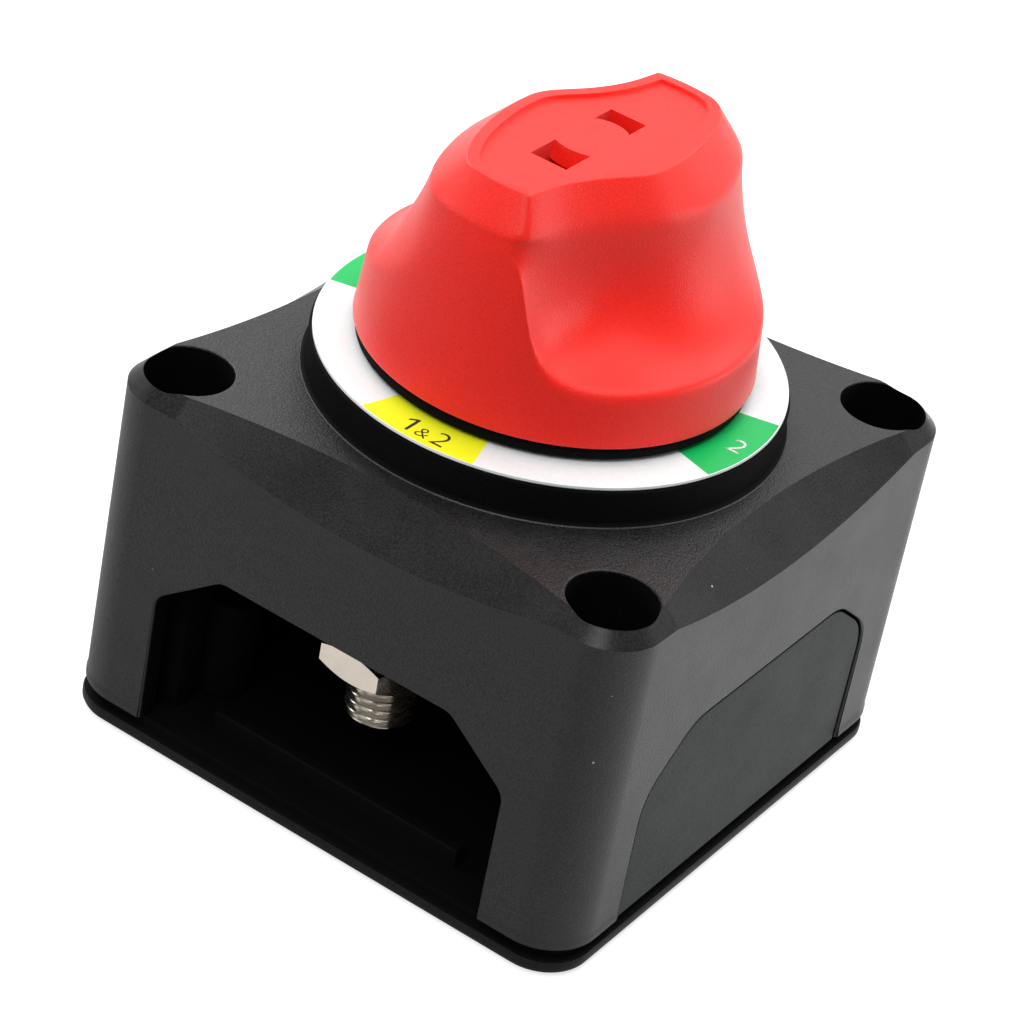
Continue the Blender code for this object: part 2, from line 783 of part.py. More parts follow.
def common_outline():
    """The common contact: a disc on the axis, with a strap out to its stud's ear."""
    strap = COMMON_STRAP_WIDTH / 2
    leave = math.degrees(math.asin(strap / COMMON_RADIUS))
    open_deg = math.degrees(math.asin(strap / EAR_RADIUS))
    points = arc(0, 0, COMMON_RADIUS, leave - 90, 270 - leave, 24)
    points += arc(0, -STUD_OFFSET, EAR_RADIUS, 90 + open_deg, 450 - open_deg, 24)
    return points


def build_contacts():
    track = track_outline()
    outlines = {"1": track, "2": [(-x, y) for x, y in reversed(track)], "common": common_outline()}
    for name, outline in outlines.items():
        hole = circle(*stud_places()[name], STUD_RADIUS + CLEARANCE, MEDIUM_STEPS)
        finish(prism(f"contact_{name}", [outline, hole], CONTACT_Z, CONTACT_TOP_Z), COPPER)


def build_terminals():
    head_low = CONTACT_TOP_Z + CLEARANCE
    head_high = head_low + STUD_HEAD_HEIGHT
    tip = head_low - STUD_LENGTH
    stud_profile = [
        (0.0, head_high),
        (STUD_HEAD_RADIUS, head_high),
        (STUD_HEAD_RADIUS, head_low),
        (STUD_RADIUS, head_low),
        (STUD_RADIUS, tip + STUD_TIP_CHAMFER),
        (STUD_RADIUS - STUD_TIP_CHAMFER, tip),
        (0.0, tip),
    ]
    hole = STUD_RADIUS + CLEARANCE
    for name, place in stud_places().items():
        stud = turned(f"stud_{name}", stud_profile, MEDIUM_STEPS)
        stud.location = (*place, 0.0)
        finish(stud, TIN)
        ring = [circle(*place, WASHER_RADIUS, MEDIUM_STEPS), circle(*place, hole, MEDIUM_STEPS)]
        finish(prism(f"washer_{name}", ring, WASHER_Z, WASHER_Z + WASHER_THICKNESS), TIN)
        build_nut(f"nut_{name}", place, hole)


def build_nut(name, place, hole):
    """A hexagon nut with both faces coned off at 45 degrees, one flat towards its cable window."""
    corner = NUT_ACROSS_FLATS / math.sqrt(3)
    top = NUT_Z + NUT_HEIGHT
    hexagon = arc(0, 0, corner, 0, 360, 6)[:-1]
    nut = prism(name, [hexagon, circle(0, 0, hole, MEDIUM_STEPS)], NUT_Z, top)
    cone = corner - NUT_FACE_RADIUS
    profile = [
        (0.0, top),
        (NUT_FACE_RADIUS, top),
        (corner + CLEARANCE, top - cone - CLEARANCE),
        (corner + CLEARANCE, NUT_Z + cone + CLEARANCE),
        (NUT_FACE_RADIUS, NUT_Z),
        (0.0, NUT_Z),
    ]
    envelope = turned(f"{name}_cone", profile, MEDIUM_STEPS)
    combine(nut, "INTERSECT", envelope)
    quarter = 0.0 if place[0] == 0.0 else math.radians(90)
    for item in (nut, envelope):
        item.location = (*place, 0.0)
        item.rotation_euler = (0.0, 0.0, quarter)
    return finish(nut, TIN)


# Rotor and what rides on it


def build_rotor(axis):
    groove_z = COLLAR_TOP_Z - RING_DEPTH
    groove = RING_SECTION_RADIUS + RING_SEAT
    pocket_top = ROTOR_Z + SPRING_POCKET_DEPTH
    profile = [
        (0.0, SHAFT_TOP_Z),
        (SHAFT_RADIUS, SHAFT_TOP_Z),
        (SHAFT_RADIUS, groove_z + groove),
        (SHAFT_RADIUS - RING_GROOVE_DEPTH, groove_z + groove),
        (SHAFT_RADIUS - RING_GROOVE_DEPTH, groove_z - groove),
        (SHAFT_RADIUS, groove_z - groove),
        (SHAFT_RADIUS, ROTOR_TOP_Z),
        (ROTOR_RADIUS, ROTOR_TOP_Z),
        (ROTOR_RADIUS, ROTOR_Z),
        (SPRING_POCKET_RADIUS, ROTOR_Z),
        (SPRING_POCKET_RADIUS, pocket_top),
        (0.0, pocket_top),
    ]
    rotor = turned("rotor", profile)
    half = SHAFT_SQUARE / 2
    foot = SHAFT_TOP_Z - SHAFT_RADIUS / 8
    square = block("shaft_square", (-half, -half, foot), (half, half, SQUARE_TOP_Z))
    join(rotor, square, *snap_arms())
    tip = ROTOR_Z - PEG_LENGTH
    join(rotor, posts("drive_pegs", PEG_RADIUS, tip, ROTOR_Z + PEG_RADIUS, peg_places()))
    notch_circle = ROTOR_RADIUS - NOTCH_DEPTH + NOTCH_RADIUS
    notches = [(notch_circle, 0.0), (0.0, notch_circle), (-notch_circle, 0.0), (0.0, -notch_circle)]
    high = ROTOR_TOP_Z + CLEARANCE
    low = ROTOR_Z - CLEARANCE
    cut(rotor, posts("detent_notches", NOTCH_RADIUS, low, high, notches, MEDIUM_STEPS))
    return finish(rotor, BLACK_PLASTIC, axis)


def snap_arms():
    """Two sprung arms above the square that hold the knob down, each with a nose on its outer side."""
    half = SNAP_WIDTH / 2
    low = SQUARE_TOP_Z - SNAP_WIDTH / 4
    seat = SNAP_SEAT_Z + CLEARANCE
    top = seat + SNAP_NOSE_HEIGHT
    made = []
    for side, sign, (near, far), nose in (
        ("front", -1, SNAP_FRONT_ARM, SNAP_FRONT_NOSE),
        ("back", 1, SNAP_BACK_ARM, SNAP_BACK_NOSE),
    ):
        ends = sorted((sign * near, sign * far))
        made.append(block(f"snap_arm_{side}", (-half, ends[0], low), (half, ends[1], top)))
        middle = (near + far) / 2
        ends = sorted((sign * middle, sign * nose))
        nose_top = top - CLEARANCE
        made.append(block(f"snap_nose_{side}", (-half, ends[0], seat), (half, ends[1], nose_top)))
    return made


def peg_places():
    turns = [math.radians(90 + s * PEG_SPREAD_DEG) for s in (-1, 1)]
    return [(PEG_CIRCLE_RADIUS * math.cos(t), PEG_CIRCLE_RADIUS * math.sin(t)) for t in turns]


def build_bridge(axis):
    """The moving contact: a hub on the axis with one broad arm, which points where the knob points."""
    leave = BRIDGE_HALF_DEG
    outline = arc(0, 0, BRIDGE_REACH, 90 - leave, 90 + leave, 14)
    outline += arc(0, 0, BRIDGE_HUB_RADIUS, 90 + leave, 450 - leave, 24)
    holes = [circle(x, y, PEG_RADIUS + CLEARANCE, SMALL_STEPS) for x, y in peg_places()]
    return finish(prism("contact_bridge", [outline, *holes], BRIDGE_Z, BRIDGE_TOP_Z), COPPER, axis)


def build_contact_spring(axis):
    low = BRIDGE_TOP_Z + CLEARANCE
    high = ROTOR_Z + SPRING_POCKET_DEPTH - CLEARANCE
    spring = coil("contact_spring", SPRING_RADIUS, SPRING_WIRE_RADIUS, high - low, SPRING_TURNS)
    spring.data.transform(Matrix.Translation((0, 0, low)))
    return finish(spring, STEEL, axis)


def build_o_ring(axis):
    middle = SHAFT_RADIUS - RING_GROOVE_DEPTH + RING_SEAT + RING_SECTION_RADIUS
    height = COLLAR_TOP_Z - RING_DEPTH
    profile = [(middle + x, height - y) for x, y in circle(0, 0, RING_SECTION_RADIUS, 6)]
    return finish(turned("shaft_o_ring", profile, ring=True), RUBBER, axis)


def build_detents():
    for side, quarter in (("front", 0), ("back", 2)):
        tip = plunger_tip()
        back = plunger_back()
        nose = arc(0, tip + PLUNGER_RADIUS, PLUNGER_RADIUS, 0, -90, CORNER_STEPS)
        profile = [(0.0, back), (PLUNGER_RADIUS, back), *nose[:-1], (0.0, tip)]
        plunger = turned(f"detent_plunger_{side}", profile, SMALL_STEPS)
        lay_outwards(plunger, quarter)
        finish(plunger, STEEL)
        spring = coil(
            f"detent_spring_{side}",
            DETENT_SPRING_RADIUS,
            DETENT_WIRE_RADIUS,
            DETENT_SPRING_LENGTH,
            DETENT_SPRING_TURNS,
        )
        spring.data.transform(Matrix.Translation((0, 0, back + CLEARANCE)))
        lay_outwards(spring, quarter)
        finish(spring, STEEL)


# Dial, base ring and knob


def build_dial(axis):
    ring = [circle(0, 0, LABEL_RADIUS, LARGE_STEPS), circle(0, 0, LABEL_HOLE_RADIUS)]
    finish(prism("dial_label", ring, LABEL_Z, LABEL_Z + LABEL_THICKNESS), LABEL_WHITE)
    half = SHAFT_SQUARE / 2 + CLEARANCE
    square = [(-half, -half), (half, -half), (half, half), (-half, half)]
    high = BASE_RING_Z + BASE_RING_THICKNESS
    rim = circle(0, 0, BASE_RING_RADIUS, LARGE_STEPS)
    base = prism("knob_base_ring", [rim, square], BASE_RING_Z, high)
    finish(base, BLACK_PLASTIC, axis)


def grip_outline():
    """The knob's top edge, an S along Y. One flank is drawn, and half a turn gives the other."""
    half = GRIP_LENGTH / 2
    flank = [
        (GRIP_NARROW, -half),
        (GRIP_FLANK, -half * 0.68),
        (GRIP_WAIST, -half * 0.22),
        (GRIP_WIDE, half * 0.10),
        (GRIP_SHOULDER, half * 0.53),
        (GRIP_END, half),
    ]
    points = smooth_line([Vector(p) for p in flank], 4)
    end = [Vector((GRIP_END * s - GRIP_NARROW * (1 - s), half)) for s in (0.75, 0.5, 0.25)]
    points += end
    return points + [-p for p in points]


def smooth_line(points, steps):
    """A Catmull-Rom curve through the points, both ends included."""
    line = [2 * points[0] - points[1], *points, 2 * points[-1] - points[-2]]
    made = []
    for a, b, c, d in zip(line, line[1:], line[2:], line[3:]):
        for i in range(steps):
            t = i / steps
            square = 2 * a - 5 * b + 4 * c - d
            cube = 3 * b - a - 3 * c + d
            made.append(0.5 * (2 * b + (c - a) * t + square * t**2 + cube * t**3))
    return made + [points[-1]]


def moved_outwards(points, distance):
    """The closed outline moved out by a distance, measured square to its sides."""
    made = []
    for i, here in enumerate(points):
        back = (here - points[i - 1]).normalized()
        ahead = (points[(i + 1) % len(points)] - here).normalized()
        normals = [Vector((side.y, -side.x)) for side in (back, ahead)]
        middle = (normals[0] + normals[1]).normalized()
        made.append(here + middle * distance / max(0.5, middle.dot(normals[0])))
    return made


def smooth_share(value, start, end):
    share = min(1.0, max(0.0, (value - start) / (end - start)))
    return share * share * (3 - 2 * share)


def finger_scoop(angle_deg):
    """How hollow the flank is at an angle round the knob: 1 in a finger scoop, 0 at the ends."""
    turn = (angle_deg + 90.0) % 180.0 - 90.0
    return smooth_share(turn, -75.0, -56.0) * (1.0 - smooth_share(turn, -38.0, 18.0))


def knob_rings(shrink):
    """Rings of the knob from its foot to its top edge, all drawn in by shrink for the hollow inside."""
    top = grip_outline()
    shoulder = moved_outwards(top, KNOB_BEVEL_WIDTH)
    shoulder_z = KNOB_TOP_Z - KNOB_BEVEL_HEIGHT
    band_z = KNOB_Z + KNOB_BAND_HEIGHT
    rings = []
    for height in (KNOB_Z, band_z):
        rings.append([(*(p.normalized() * (KNOB_RADIUS - shrink)), height) for p in shoulder])
    for share in (0.92, 0.82, 0.68, 0.5, 0.3, 0.0):
        height = shoulder_z + (band_z - shoulder_z) * share
        ring = []
        for p in shoulder:
            hollow = finger_scoop(math.degrees(math.atan2(p.y, p.x)))
            blend = share ** (0.85 + 2.0 * hollow)
            radius = p.length + (KNOB_RADIUS - p.length) * blend - shrink
            ring.append((*(p.normalized() * radius), height))
        rings.append(ring)
    rings.append([(p.x, p.y, KNOB_TOP_Z) for p in top])
    return rings


def build_knob(axis):
    knob = loft("knob", knob_rings(0.0))
    hollow_rings = knob_rings(KNOB_WALL)[:-2]
    roof_z = SOCKET_TOP_Z
    foot = [(x, y, KNOB_Z - CLEARANCE) for x, y, _ in hollow_rings[0]]
    inside = [ring for ring in hollow_rings[1:] if ring[0][2] < roof_z - KNOB_WALL / 2]
    roof = [(x, y, roof_z) for x, y, _ in inside[-1]]
    cut(knob, loft("knob_hollow", [foot, *inside, roof]))
    tube_top = roof_z + KNOB_WALL / 2
    join(knob, posts("knob_tube", KNOB_TUBE_RADIUS, KNOB_Z, tube_top, [(0.0, 0.0)], MEDIUM_STEPS))
    half = SHAFT_SQUARE / 2 + CLEARANCE
    socket = block("knob_socket", (-half, -half, KNOB_Z - KNOB_WALL), (half, half, roof_z))
    inner = moved_outwards(grip_outline(), -PANEL_INSET)
    floor, above = KNOB_TOP_Z - PANEL_DEPTH, KNOB_TOP_Z + PANEL_DEPTH
    panel = loft("knob_panel", [[(p.x, p.y, height) for p in inner] for height in (floor, above)])
    cut(knob, socket, panel, *snap_windows())
    return finish(knob, RED_PLASTIC, axis)


def snap_windows():
    """Openings over the snap arms. Each has a narrow throat below, whose ledge the arm's nose catches."""
    half = SNAP_WINDOW_WIDTH / 2
    made = []
    for side, sign, (near, far), arm in (
        ("front", -1, SNAP_WINDOW_FRONT, SNAP_FRONT_ARM),
        ("back", 1, SNAP_WINDOW_BACK, SNAP_BACK_ARM),
    ):
        spread = math.degrees(math.asin(half / near))
        inner = arc(0, 0, near, 90 + spread, 90 - spread, 6)
        window = [(sign * x, sign * y) for x, y in [*inner, (half, far), (-half, far)]]
        made.append(prism(f"snap_window_{side}", [window], SNAP_SEAT_Z, KNOB_TOP_Z + KNOB_WALL))
        ends = sorted((sign * (arm[0] - CLEARANCE), sign * (arm[1] + CLEARANCE)))
        low = (-half, ends[0], SOCKET_TOP_Z - CLEARANCE)
        high = (half, ends[1], KNOB_TOP_Z - KNOB_WALL)
        made.append(block(f"snap_throat_{side}", low, high))
    return made


def smooth_round_pieces():
    for item in SWITCH.objects:
        if item.type == "MESH":
            item.data.shade_smooth()
            item.data.set_sharp_from_angle(angle=math.radians(35))


clear_scene()
SWITCH = new_collection("battery_switch")
HELPERS = new_collection("helpers")

BLACK_PLASTIC = plain_material("black_plastic", (0.045, 0.045, 0.048), 0.62)
PANEL_PLASTIC = plain_material("panel_plastic", (0.062, 0.068, 0.068), 0.55)
CARRIER_PLASTIC = plain_material("carrier_plastic", (0.030, 0.028, 0.026), 0.55)
RED_PLASTIC = plain_material("red_plastic", (0.80, 0.030, 0.025), 0.42)
LABEL_WHITE = plain_material("label_white", (0.88, 0.88, 0.88), 0.45)
RUBBER = plain_material("rubber", (0.02, 0.02, 0.02), 0.8)
COPPER = plain_material("copper", (0.72, 0.36, 0.22), 0.35, 1.0)
TIN = plain_material("tinned_metal", (0.78, 0.75, 0.70), 0.32, 1.0)
STEEL = plain_material("steel", (0.55, 0.55, 0.56), 0.35, 1.0)

KNOB_AXIS = add_empty("knob_axis", (0.0, 0.0, COLLAR_TOP_Z))

build_housing()
build_rear_cover()
for panel_side, panel_quarter in (("right", 1), ("back", 2), ("left", 3)):
    build_panel(panel_side, panel_quarter)
build_screws()
build_carrier()
build_contacts()
build_terminals()
build_rotor(KNOB_AXIS)
build_bridge(KNOB_AXIS)
build_contact_spring(KNOB_AXIS)
build_o_ring(KNOB_AXIS)
build_detents()
build_dial(KNOB_AXIS)
build_knob(KNOB_AXIS)
smooth_round_pieces()
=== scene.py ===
"""Looks of a four-position rotary battery switch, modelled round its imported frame.

Run as a script, it models every visible piece in the frame's metres, gives each one its finish, and sets a
plain stage. The knob's axis is Z, and the open cable window faces -Y.
"""

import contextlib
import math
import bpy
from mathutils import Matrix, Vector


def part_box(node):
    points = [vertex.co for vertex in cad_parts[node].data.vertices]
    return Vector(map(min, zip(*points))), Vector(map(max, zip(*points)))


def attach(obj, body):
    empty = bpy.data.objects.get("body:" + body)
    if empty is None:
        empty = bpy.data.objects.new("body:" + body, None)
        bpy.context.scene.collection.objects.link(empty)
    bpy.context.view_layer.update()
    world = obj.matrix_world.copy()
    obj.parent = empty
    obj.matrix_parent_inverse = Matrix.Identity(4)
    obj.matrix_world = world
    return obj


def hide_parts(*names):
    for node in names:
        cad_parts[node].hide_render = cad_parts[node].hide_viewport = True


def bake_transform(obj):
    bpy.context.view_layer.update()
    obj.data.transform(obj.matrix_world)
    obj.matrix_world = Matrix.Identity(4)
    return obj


bl_info = {
    "name": "Battery Switch",
    "version": (1, 0, 0),
    "blender": (4, 5, 0),
    "location": "View3D > Sidebar > Battery Switch",
    "description": "Models and finishes a rotary battery switch round its packed frame",
    "category": "Object",
}

import bmesh
import bpy
from bpy.props import FloatProperty, FloatVectorProperty, PointerProperty
from mathutils import Matrix, Vector

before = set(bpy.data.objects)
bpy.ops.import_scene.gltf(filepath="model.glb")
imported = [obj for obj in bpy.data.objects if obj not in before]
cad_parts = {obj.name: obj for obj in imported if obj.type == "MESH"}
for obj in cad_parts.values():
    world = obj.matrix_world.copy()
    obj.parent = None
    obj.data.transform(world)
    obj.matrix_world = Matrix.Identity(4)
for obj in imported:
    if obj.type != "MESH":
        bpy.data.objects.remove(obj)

MM = 0.001
QUARTERS = range(4)
SIDES = {"right": 1, "back": 2, "left": 3}
TERMINALS = ("1", "2", "common")


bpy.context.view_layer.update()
HOUSING_LOW, HOUSING_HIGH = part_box("housing")
COVER_LOW, COVER_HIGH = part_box("rear_cover")
KNOB_LOW, KNOB_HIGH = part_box("knob")
CASE_HALF = COVER_HIGH.x


# Settings


def length(name, description, millimetres):
    return FloatProperty(name=name, description=description, default=millimetres * MM, subtype="DISTANCE")


def colour(name, description, red, green, blue):
    return FloatVectorProperty(
        name=name, description=description, default=(red, green, blue), size=3, min=0, max=1, subtype="COLOR"
    )


class CaseSettings(bpy.types.PropertyGroup):
    """Sizes and colours of the moulded case, its panels and its base plate."""

    corner_radius: length("Corner radius", "Rounding of the case's four upright corners", 6.2)
    top_height: length("Top height", "Height of the flat top above the mounting surface", 45.5)
    edge_chamfer: length("Edge chamfer", "Width of the sloped edge at the corners", 2.0)
    scoop_depth: length("Scoop depth", "Depth of a scooped edge, square to its slope", 3.606)
    scoop_radius: length("Scoop radius", "Radius that a scooped edge is swept to", 143.7)
    collar_radius: length("Collar radius", "Radius of the round collar under the dial", 27.0)
    draft: length("Draft", "Spread of the case's sides towards their foot", 0.3)
    wall: length("Wall", "Thickness of the case's walls", 2.6)
    window_corner: length("Window corner", "Rounding of the open window's corners", 2.5)
    panel_corner: length("Panel corner", "Rounding of the panels' corners", 7.0)
    bore_radius: length("Bore radius", "Radius of the corner bores for screw heads", 5.0)
    hole_radius: length("Hole radius", "Radius of the corner holes for screw shanks", 3.0)
    hole_offset: length("Hole offset", "Distance of the corner holes from the middle lines", 28.15)
    edge_break: length("Edge break", "Rounding of moulded edges", 0.25)
    # Painted shade: a near-black colour, darker than the case's plastic, for faces where shade falls.
    painted_shade_colour: colour("Painted shade colour", "Near-black painted shade inside the case, in its bores and on the knob's foot", 0.002, 0.002, 0.002)
    shell_colour: colour("Case colour", "Black plastic of the case", 0.0095, 0.0095, 0.0098)
    panel_colour: colour("Panel colour", "Dark grey plastic of the slide-in panels", 0.013, 0.017, 0.0175)


class KnobSettings(bpy.types.PropertyGroup):
    """Sizes and colour of the turning knob."""

    radius: length("Radius", "Radius of the knob's round foot", 22.6)
    shoulder_radius: length("Shoulder radius", "Radius of the round body where the bevel starts", 20.6)
    bevel_height: length("Bevel height", "Height of the bevel round the grip's top", 4.0)
    end_reach: length("End reach", "Distance of the grip's ends from the axis", 17.9)
    hollow_depth: length("Hollow depth", "Depth of the finger hollow in each scoop", 1.8)
    sharp_corner: length("Sharp corner", "Rounding of the grip's sharp corners", 0.6)
    soft_corner: length("Soft corner", "Rounding of the grip's soft corners", 1.8)
    red: colour("Red", "Red plastic of the knob", 0.88, 0.014, 0.006)


class DialSettings(bpy.types.PropertyGroup):
    """Sizes and inks of the printed dial."""

    radius: length("Radius", "Outer radius of the dial film", 26.7)
    figure_height: length("Figure height", "Height of the printed figures", 2.7)
    sector_degrees: FloatProperty(
        name="Sector", description="Half of each coloured sector, in degrees", default=16.0
    )
    white: colour("White", "Film of the dial", 0.86, 0.91, 0.91)
    yellow: colour("Yellow", "Ink of the sector for both batteries", 0.92, 0.98, 0.02)
    green: colour("Green", "Ink of the sectors for one battery", 0.006, 0.50, 0.11)


class TerminalSettings(bpy.types.PropertyGroup):
    """Sizes and colours of the studs, nuts and screws."""

    stud_radius: length("Stud radius", "Outer radius of the stud's thread", 4.0)
    stud_tail: length("Stud tail", "Length of thread past the stud's plain end", 1.4)
    pitch: length("Pitch", "Rise of the stud's thread in one turn", 1.15)
    nut_flats: length("Nut flats", "Width of the nut across its flats", 14.3)
    nut_height: length("Nut height", "Height of the thin nut", 4.1)
    # Painted shade: the studs' tin is darkened, as they stand in the dark chamber behind the cable window.
    shade_darkened_tin: colour("Shade-darkened tin", "Tin of the studs, darkened as painted shade", 0.42, 0.39, 0.34)
    tin: colour("Tin", "Tinned metal of the terminals", 0.90, 0.80, 0.69)
    steel: colour("Steel", "Steel of screws and springs", 0.56, 0.56, 0.57)
    copper: colour("Copper", "Copper of the contacts", 0.72, 0.36, 0.22)


class StageSettings(bpy.types.PropertyGroup):
    """Camera and light."""

    aim: FloatVectorProperty(
        name="Aim",
        description="Point that the camera looks at",
        default=(-0.00071, -0.00039, 0.02851),
        subtype="TRANSLATION",
    )
    distance: length("Distance", "Distance of the camera from its aim", 425.33)
    azimuth: FloatProperty(
        name="Azimuth", description="Turn of the camera from -Y", default=math.radians(28.7616), subtype="ANGLE"
    )
    elevation: FloatProperty(
        name="Elevation", description="Rise of the camera", default=math.radians(33.0869), subtype="ANGLE"
    )
    roll: FloatProperty(
        name="Roll", description="Lean of the picture", default=math.radians(11.453), subtype="ANGLE"
    )
    lens: FloatProperty(name="Lens", description="Focal length for a 36 mm sensor, in mm", default=131.5)
    top: FloatProperty(name="Top light", description="Level of the softbox overhead", default=0.4)
    front: FloatProperty(name="Front light", description="Level of the softbox high in front", default=0.42)
    back: FloatProperty(name="Back light", description="Level of the softbox behind", default=0.5)
    right: FloatProperty(name="Right light", description="Level of the softbox on the right", default=0.3)
    left: FloatProperty(name="Left light", description="Level of the softbox on the left", default=0.5)
    fill: FloatProperty(name="Fill light", description="Level of the softbox low on the left", default=0.3)
    sky: FloatProperty(name="Sky", description="Level of the light from all round", default=0.2)


SETTINGS = {
    "switch_case": CaseSettings,
    "switch_knob": KnobSettings,
    "switch_dial": DialSettings,
    "switch_terminals": TerminalSettings,
    "switch_stage": StageSettings,
}


# Modelling


def deselect():
    bpy.ops.object.select_all(action="DESELECT")


@contextlib.contextmanager
def edit_mode(piece):
    """Edit mode on one piece, with nothing in it selected at the start."""
    deselect()
    piece.select_set(True)
    bpy.context.view_layer.objects.active = piece
    bpy.ops.object.mode_set(mode="EDIT")
    bpy.ops.mesh.select_mode(type="VERT")
    bpy.ops.mesh.select_all(action="DESELECT")
    yield
    bpy.ops.object.mode_set(mode="OBJECT")


def pick(piece, kind, test):
    """Selects those vertices, edges or faces of the piece in edit mode that pass the test."""
    bpy.ops.mesh.select_mode(type=kind)
    bpy.ops.mesh.select_all(action="DESELECT")
    shape = bmesh.from_edit_mesh(piece.data)
    for element in {"VERT": shape.verts, "EDGE": shape.edges, "FACE": shape.faces}[kind]:
        if test(element):
            element.select_set(True)
    shape.select_flush_mode()
    bmesh.update_edit_mesh(piece.data)


def lofted(name, rings):
    """A closed solid: a filled circle, extruded once for each further ring and moved onto its points."""
    deselect()
    bpy.ops.mesh.primitive_circle_add(vertices=len(rings[0]), fill_type="NGON")
    piece = bpy.context.object
    piece.name = name
    with edit_mode(piece):
        bpy.ops.mesh.select_all(action="SELECT")
        for number, ring in enumerate(rings):
            if number:
                bpy.ops.mesh.extrude_region()
            shape = bmesh.from_edit_mesh(piece.data)
            for vert, place in zip([v for v in shape.verts if v.select], ring):
                vert.co = place
        bmesh.update_edit_mesh(piece.data)
        bpy.ops.mesh.select_all(action="SELECT")
        bpy.ops.mesh.normals_make_consistent(inside=False)
    return piece


def circle_ring(radius, height, count, x=0.0, y=0.0):
    turns = [math.tau * i / count for i in range(count)]
    return [Vector((x + radius * math.cos(t), y + radius * math.sin(t), height)) for t in turns]


def turned(name, profile, count=64, x=0.0, y=0.0):
    """A turned solid from (radius, height) pairs, foot first."""
    return lofted(name, [circle_ring(radius, height, count, x, y) for radius, height in profile])


def rounded_square(half, radius, height, steps=14):
    ring = []
    for quarter in QUARTERS:
        turn = Matrix.Rotation(math.radians(90 * quarter), 3, "Z")
        for i in range(steps + 1):
            t = math.radians(90 * i / steps)
            reach = half - radius
            ring.append(turn @ Vector((reach + radius * math.cos(t), reach + radius * math.sin(t), height)))
    return ring


def rounded_corners(corners, radius, steps):
    """The corners of an outline, each replaced by a short curve. A radius of 0 keeps the corner."""
    points = []
    for i, (corner, size) in enumerate(zip(corners, radius)):
        here = Vector(corner)
        if not size:
            points.append(here)
            continue
        back = (Vector(corners[i - 1]) - here).normalized()
        ahead = (Vector(corners[(i + 1) % len(corners)]) - here).normalized()
        reach = size / math.tan(back.angle(ahead) / 2)
        for step in range(steps + 1):
            t = step / steps
            points.append(here + back * reach * (1 - t) ** 2 + ahead * reach * t**2)
    return points


def combine(piece, other, operation):
    """One applied Boolean of two closed pieces. The second piece is used up."""
    deselect()
    piece.select_set(True)
    bpy.context.view_layer.objects.active = piece
    step = piece.modifiers.new(operation.title(), "BOOLEAN")
    step.operation = operation
    step.solver = "MANIFOLD"
    step.object = other
    bpy.ops.object.modifier_apply(modifier=step.name)
    bpy.data.objects.remove(other)


def carve(piece, *cutters):
    for cutter in cutters:
        combine(piece, cutter, "DIFFERENCE")


def weld(piece, *others):
    for other in others:
        combine(piece, other, "UNION")


def copied(piece, name, matrix):
    """A copy of the piece with its own mesh, moved by the matrix."""
    made = piece.copy()
    made.data = piece.data.copy()
    made.name = name
    made.data.transform(matrix)
    bpy.context.scene.collection.objects.link(made)
    return made


def round_the_case(piece):
    """The piece and its three copies, a quarter turn apart about the axis, as one mesh."""
    turns = [Matrix.Rotation(math.radians(90 * quarter), 4, "Z") for quarter in QUARTERS]
    copies = [copied(piece, piece.name, turn) for turn in turns[1:]]
    deselect()
    for each in (piece, *copies):
        each.select_set(True)
    bpy.context.view_layer.objects.active = piece
    bpy.ops.object.join()
    return piece


def plain_box(name, low, high):
    deselect()
    middle = [(a + b) / 2 for a, b in zip(low, high)]
    bpy.ops.mesh.primitive_cube_add(size=1, location=middle, scale=[b - a for a, b in zip(low, high)])
    piece = bpy.context.object
    piece.name = name
    bpy.ops.object.transform_apply(location=True, rotation=True, scale=True)
    return piece


def dress(piece, material, body, slot, *nodes, angle=32):
    """Cleans and shades a finished piece, gives it its finish, and sets it on its body in place of its nodes.
    A piece that reaches from one body to another is dressed with no body."""
    with edit_mode(piece):
        bpy.ops.mesh.select_all(action="SELECT")
        bpy.ops.mesh.remove_doubles(threshold=1e-6)
        bpy.ops.mesh.normals_make_consistent(inside=False)
    bpy.ops.object.shade_smooth_by_angle(angle=math.radians(angle))
    even = piece.modifiers.new("Even", "WEIGHTED_NORMAL")
    even.keep_sharp = True
    bpy.ops.object.modifier_apply(modifier=even.name)
    piece.data.name = piece.name
    piece.data.materials.clear()
    piece.data.materials.append(material)
    if body:
        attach(piece, body)
    if nodes:
        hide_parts(*nodes)
    return piece


# Shared effects


class Nodes:
    """Adds linked nodes to one node tree, from left to right."""

    def __init__(self, tree):
        self.tree = tree
        self.column = 0

    def add(self, kind, inputs=None, **settings):
        node = self.tree.nodes.new(kind)
        self.column += 1
        node.location = (200 * self.column, -40 * (self.column % 5))
        for name, value in settings.items():
            setattr(node, name, value)
        for name, value in (inputs or {}).items():
            if isinstance(value, bpy.types.NodeSocket):
                self.tree.links.new(value, node.inputs[name])
            else:
                node.inputs[name].default_value = value
        return node

    def maths(self, operation, first, second=0.0, third=0.0):
        return self.add("ShaderNodeMath", {0: first, 1: second, 2: third}, operation=operation).outputs[0]

    def blend(self, share, first, second, mode="MIX"):
        mix = self.add("ShaderNodeMix", data_type="RGBA", blend_type=mode)
        for socket, value in ((mix.inputs[0], share), (mix.inputs[6], first), (mix.inputs[7], second)):
            if isinstance(value, bpy.types.NodeSocket):
                self.tree.links.new(value, socket)
            else:
                socket.default_value = value
        return mix.outputs[2]


